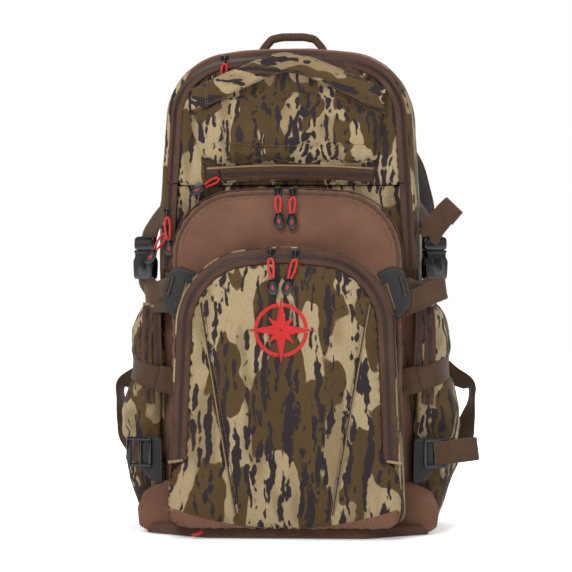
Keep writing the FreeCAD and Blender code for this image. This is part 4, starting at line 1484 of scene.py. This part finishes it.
def aim(item, place, target):
    item.location = place
    item.rotation_euler = (target - Vector(place)).to_track_quat("-Z", "Y").to_euler()


def build_stage():
    """A white floor that glows more further out, a pale world and four soft lights."""
    floor = bpy.data.meshes.new("floor")
    floor.from_pydata([(*corner, 0) for corner in rectangle(-4, -4, 4, 4)], [], [(0, 1, 2, 3)])
    look = Look("floor_white", 0.9)
    look.inputs["Emission Color"].default_value = (1, 1, 1, 1)
    far = look.add("VectorMath", {0: look.place}, operation="LENGTH").outputs["Value"]
    glow = look.add("MapRange", {"Value": far, "From Min": 0.35, "From Max": 1.1, "To Min": 0.3,
                                 "To Max": 1.0})
    look.link(glow.outputs["Result"], "Emission Strength")
    speck = look.add("TexNoise", {"Scale": 40}).outputs["Fac"]
    look.link(look.mix(speck, (246, 246, 246), (250, 250, 250)), "Base Color")
    floor.materials.append(look.mat)
    add_object("floor", floor)
    world = bpy.data.worlds.new("studio")
    world.use_nodes = True
    tree = world.node_tree
    way = add_node(tree, "TexCoord").outputs["Generated"]
    depth = add_node(tree, "SeparateXYZ", {"Vector": way}).outputs["Y"]
    ramp = add_node(tree, "MapRange", {"Value": depth, "From Min": -0.2, "From Max": 0.7,
                                       "To Min": 0.27, "To Max": 1.0}).outputs["Result"]
    seen = add_node(tree, "LightPath").outputs["Is Camera Ray"]
    most = add_node(tree, "Math", {0: ramp, 1: seen}, operation="MAXIMUM").outputs["Value"]
    background = tree.nodes["Background"]
    tree.links.new(most, background.inputs["Strength"])
    background.inputs["Color"].default_value = (1, 1, 1, 1)
    bpy.context.scene.world = world
    bpy.context.scene.view_settings.view_transform = "Standard"
    for name, (place, size, power) in LIGHTS.items():
        lamp = bpy.data.lights.new(name, "AREA")
        lamp.size, lamp.energy = size, power
        aim(add_object(name, lamp), place, Vector((0, 0, 0.27)))


def build_camera():
    """Straight ahead, a little to the right, far enough for little perspective.

    span is how many metres the picture takes in at the target.
    """
    target = Vector((-2 * MM, -0.04, 0.2672))
    reach, turn, rise, span = 2.5, math.radians(3.5), math.radians(1.0), 0.6175
    way = Vector((math.sin(turn) * math.cos(rise), -math.cos(turn) * math.cos(rise),
                  math.sin(rise)))
    data = bpy.data.cameras.new("camera")
    data.sensor_width = 36
    data.lens = data.sensor_width * reach / span
    camera = add_object("camera", data)
    aim(camera, target + way * reach, target)
    bpy.context.scene.camera = camera


build_stage()
build_camera()
build_gusset()
build_front_wall()
build_main_zip()
build_lid()
build_middle_pocket()
finish_front_skin(*build_front_pocket())
for strap_side, side_name in SIDES:
    build_side_pocket(strap_side, side_name)
    build_shoulder_strap(strap_side, side_name)
build_boots()
build_hypalon()
build_buckles()
build_ladder_locks()
build_handle()
build_back_pads()
for pull_name, (pull_reach, pull_lean) in PULLS.items():
    build_pull(pull_name, pull_reach, pull_lean)
bpy.data.objects["frame_sheet"].data.materials.clear()
bpy.data.objects["frame_sheet"].data.materials.append(SHEET)

bpy.context.view_layer.update()
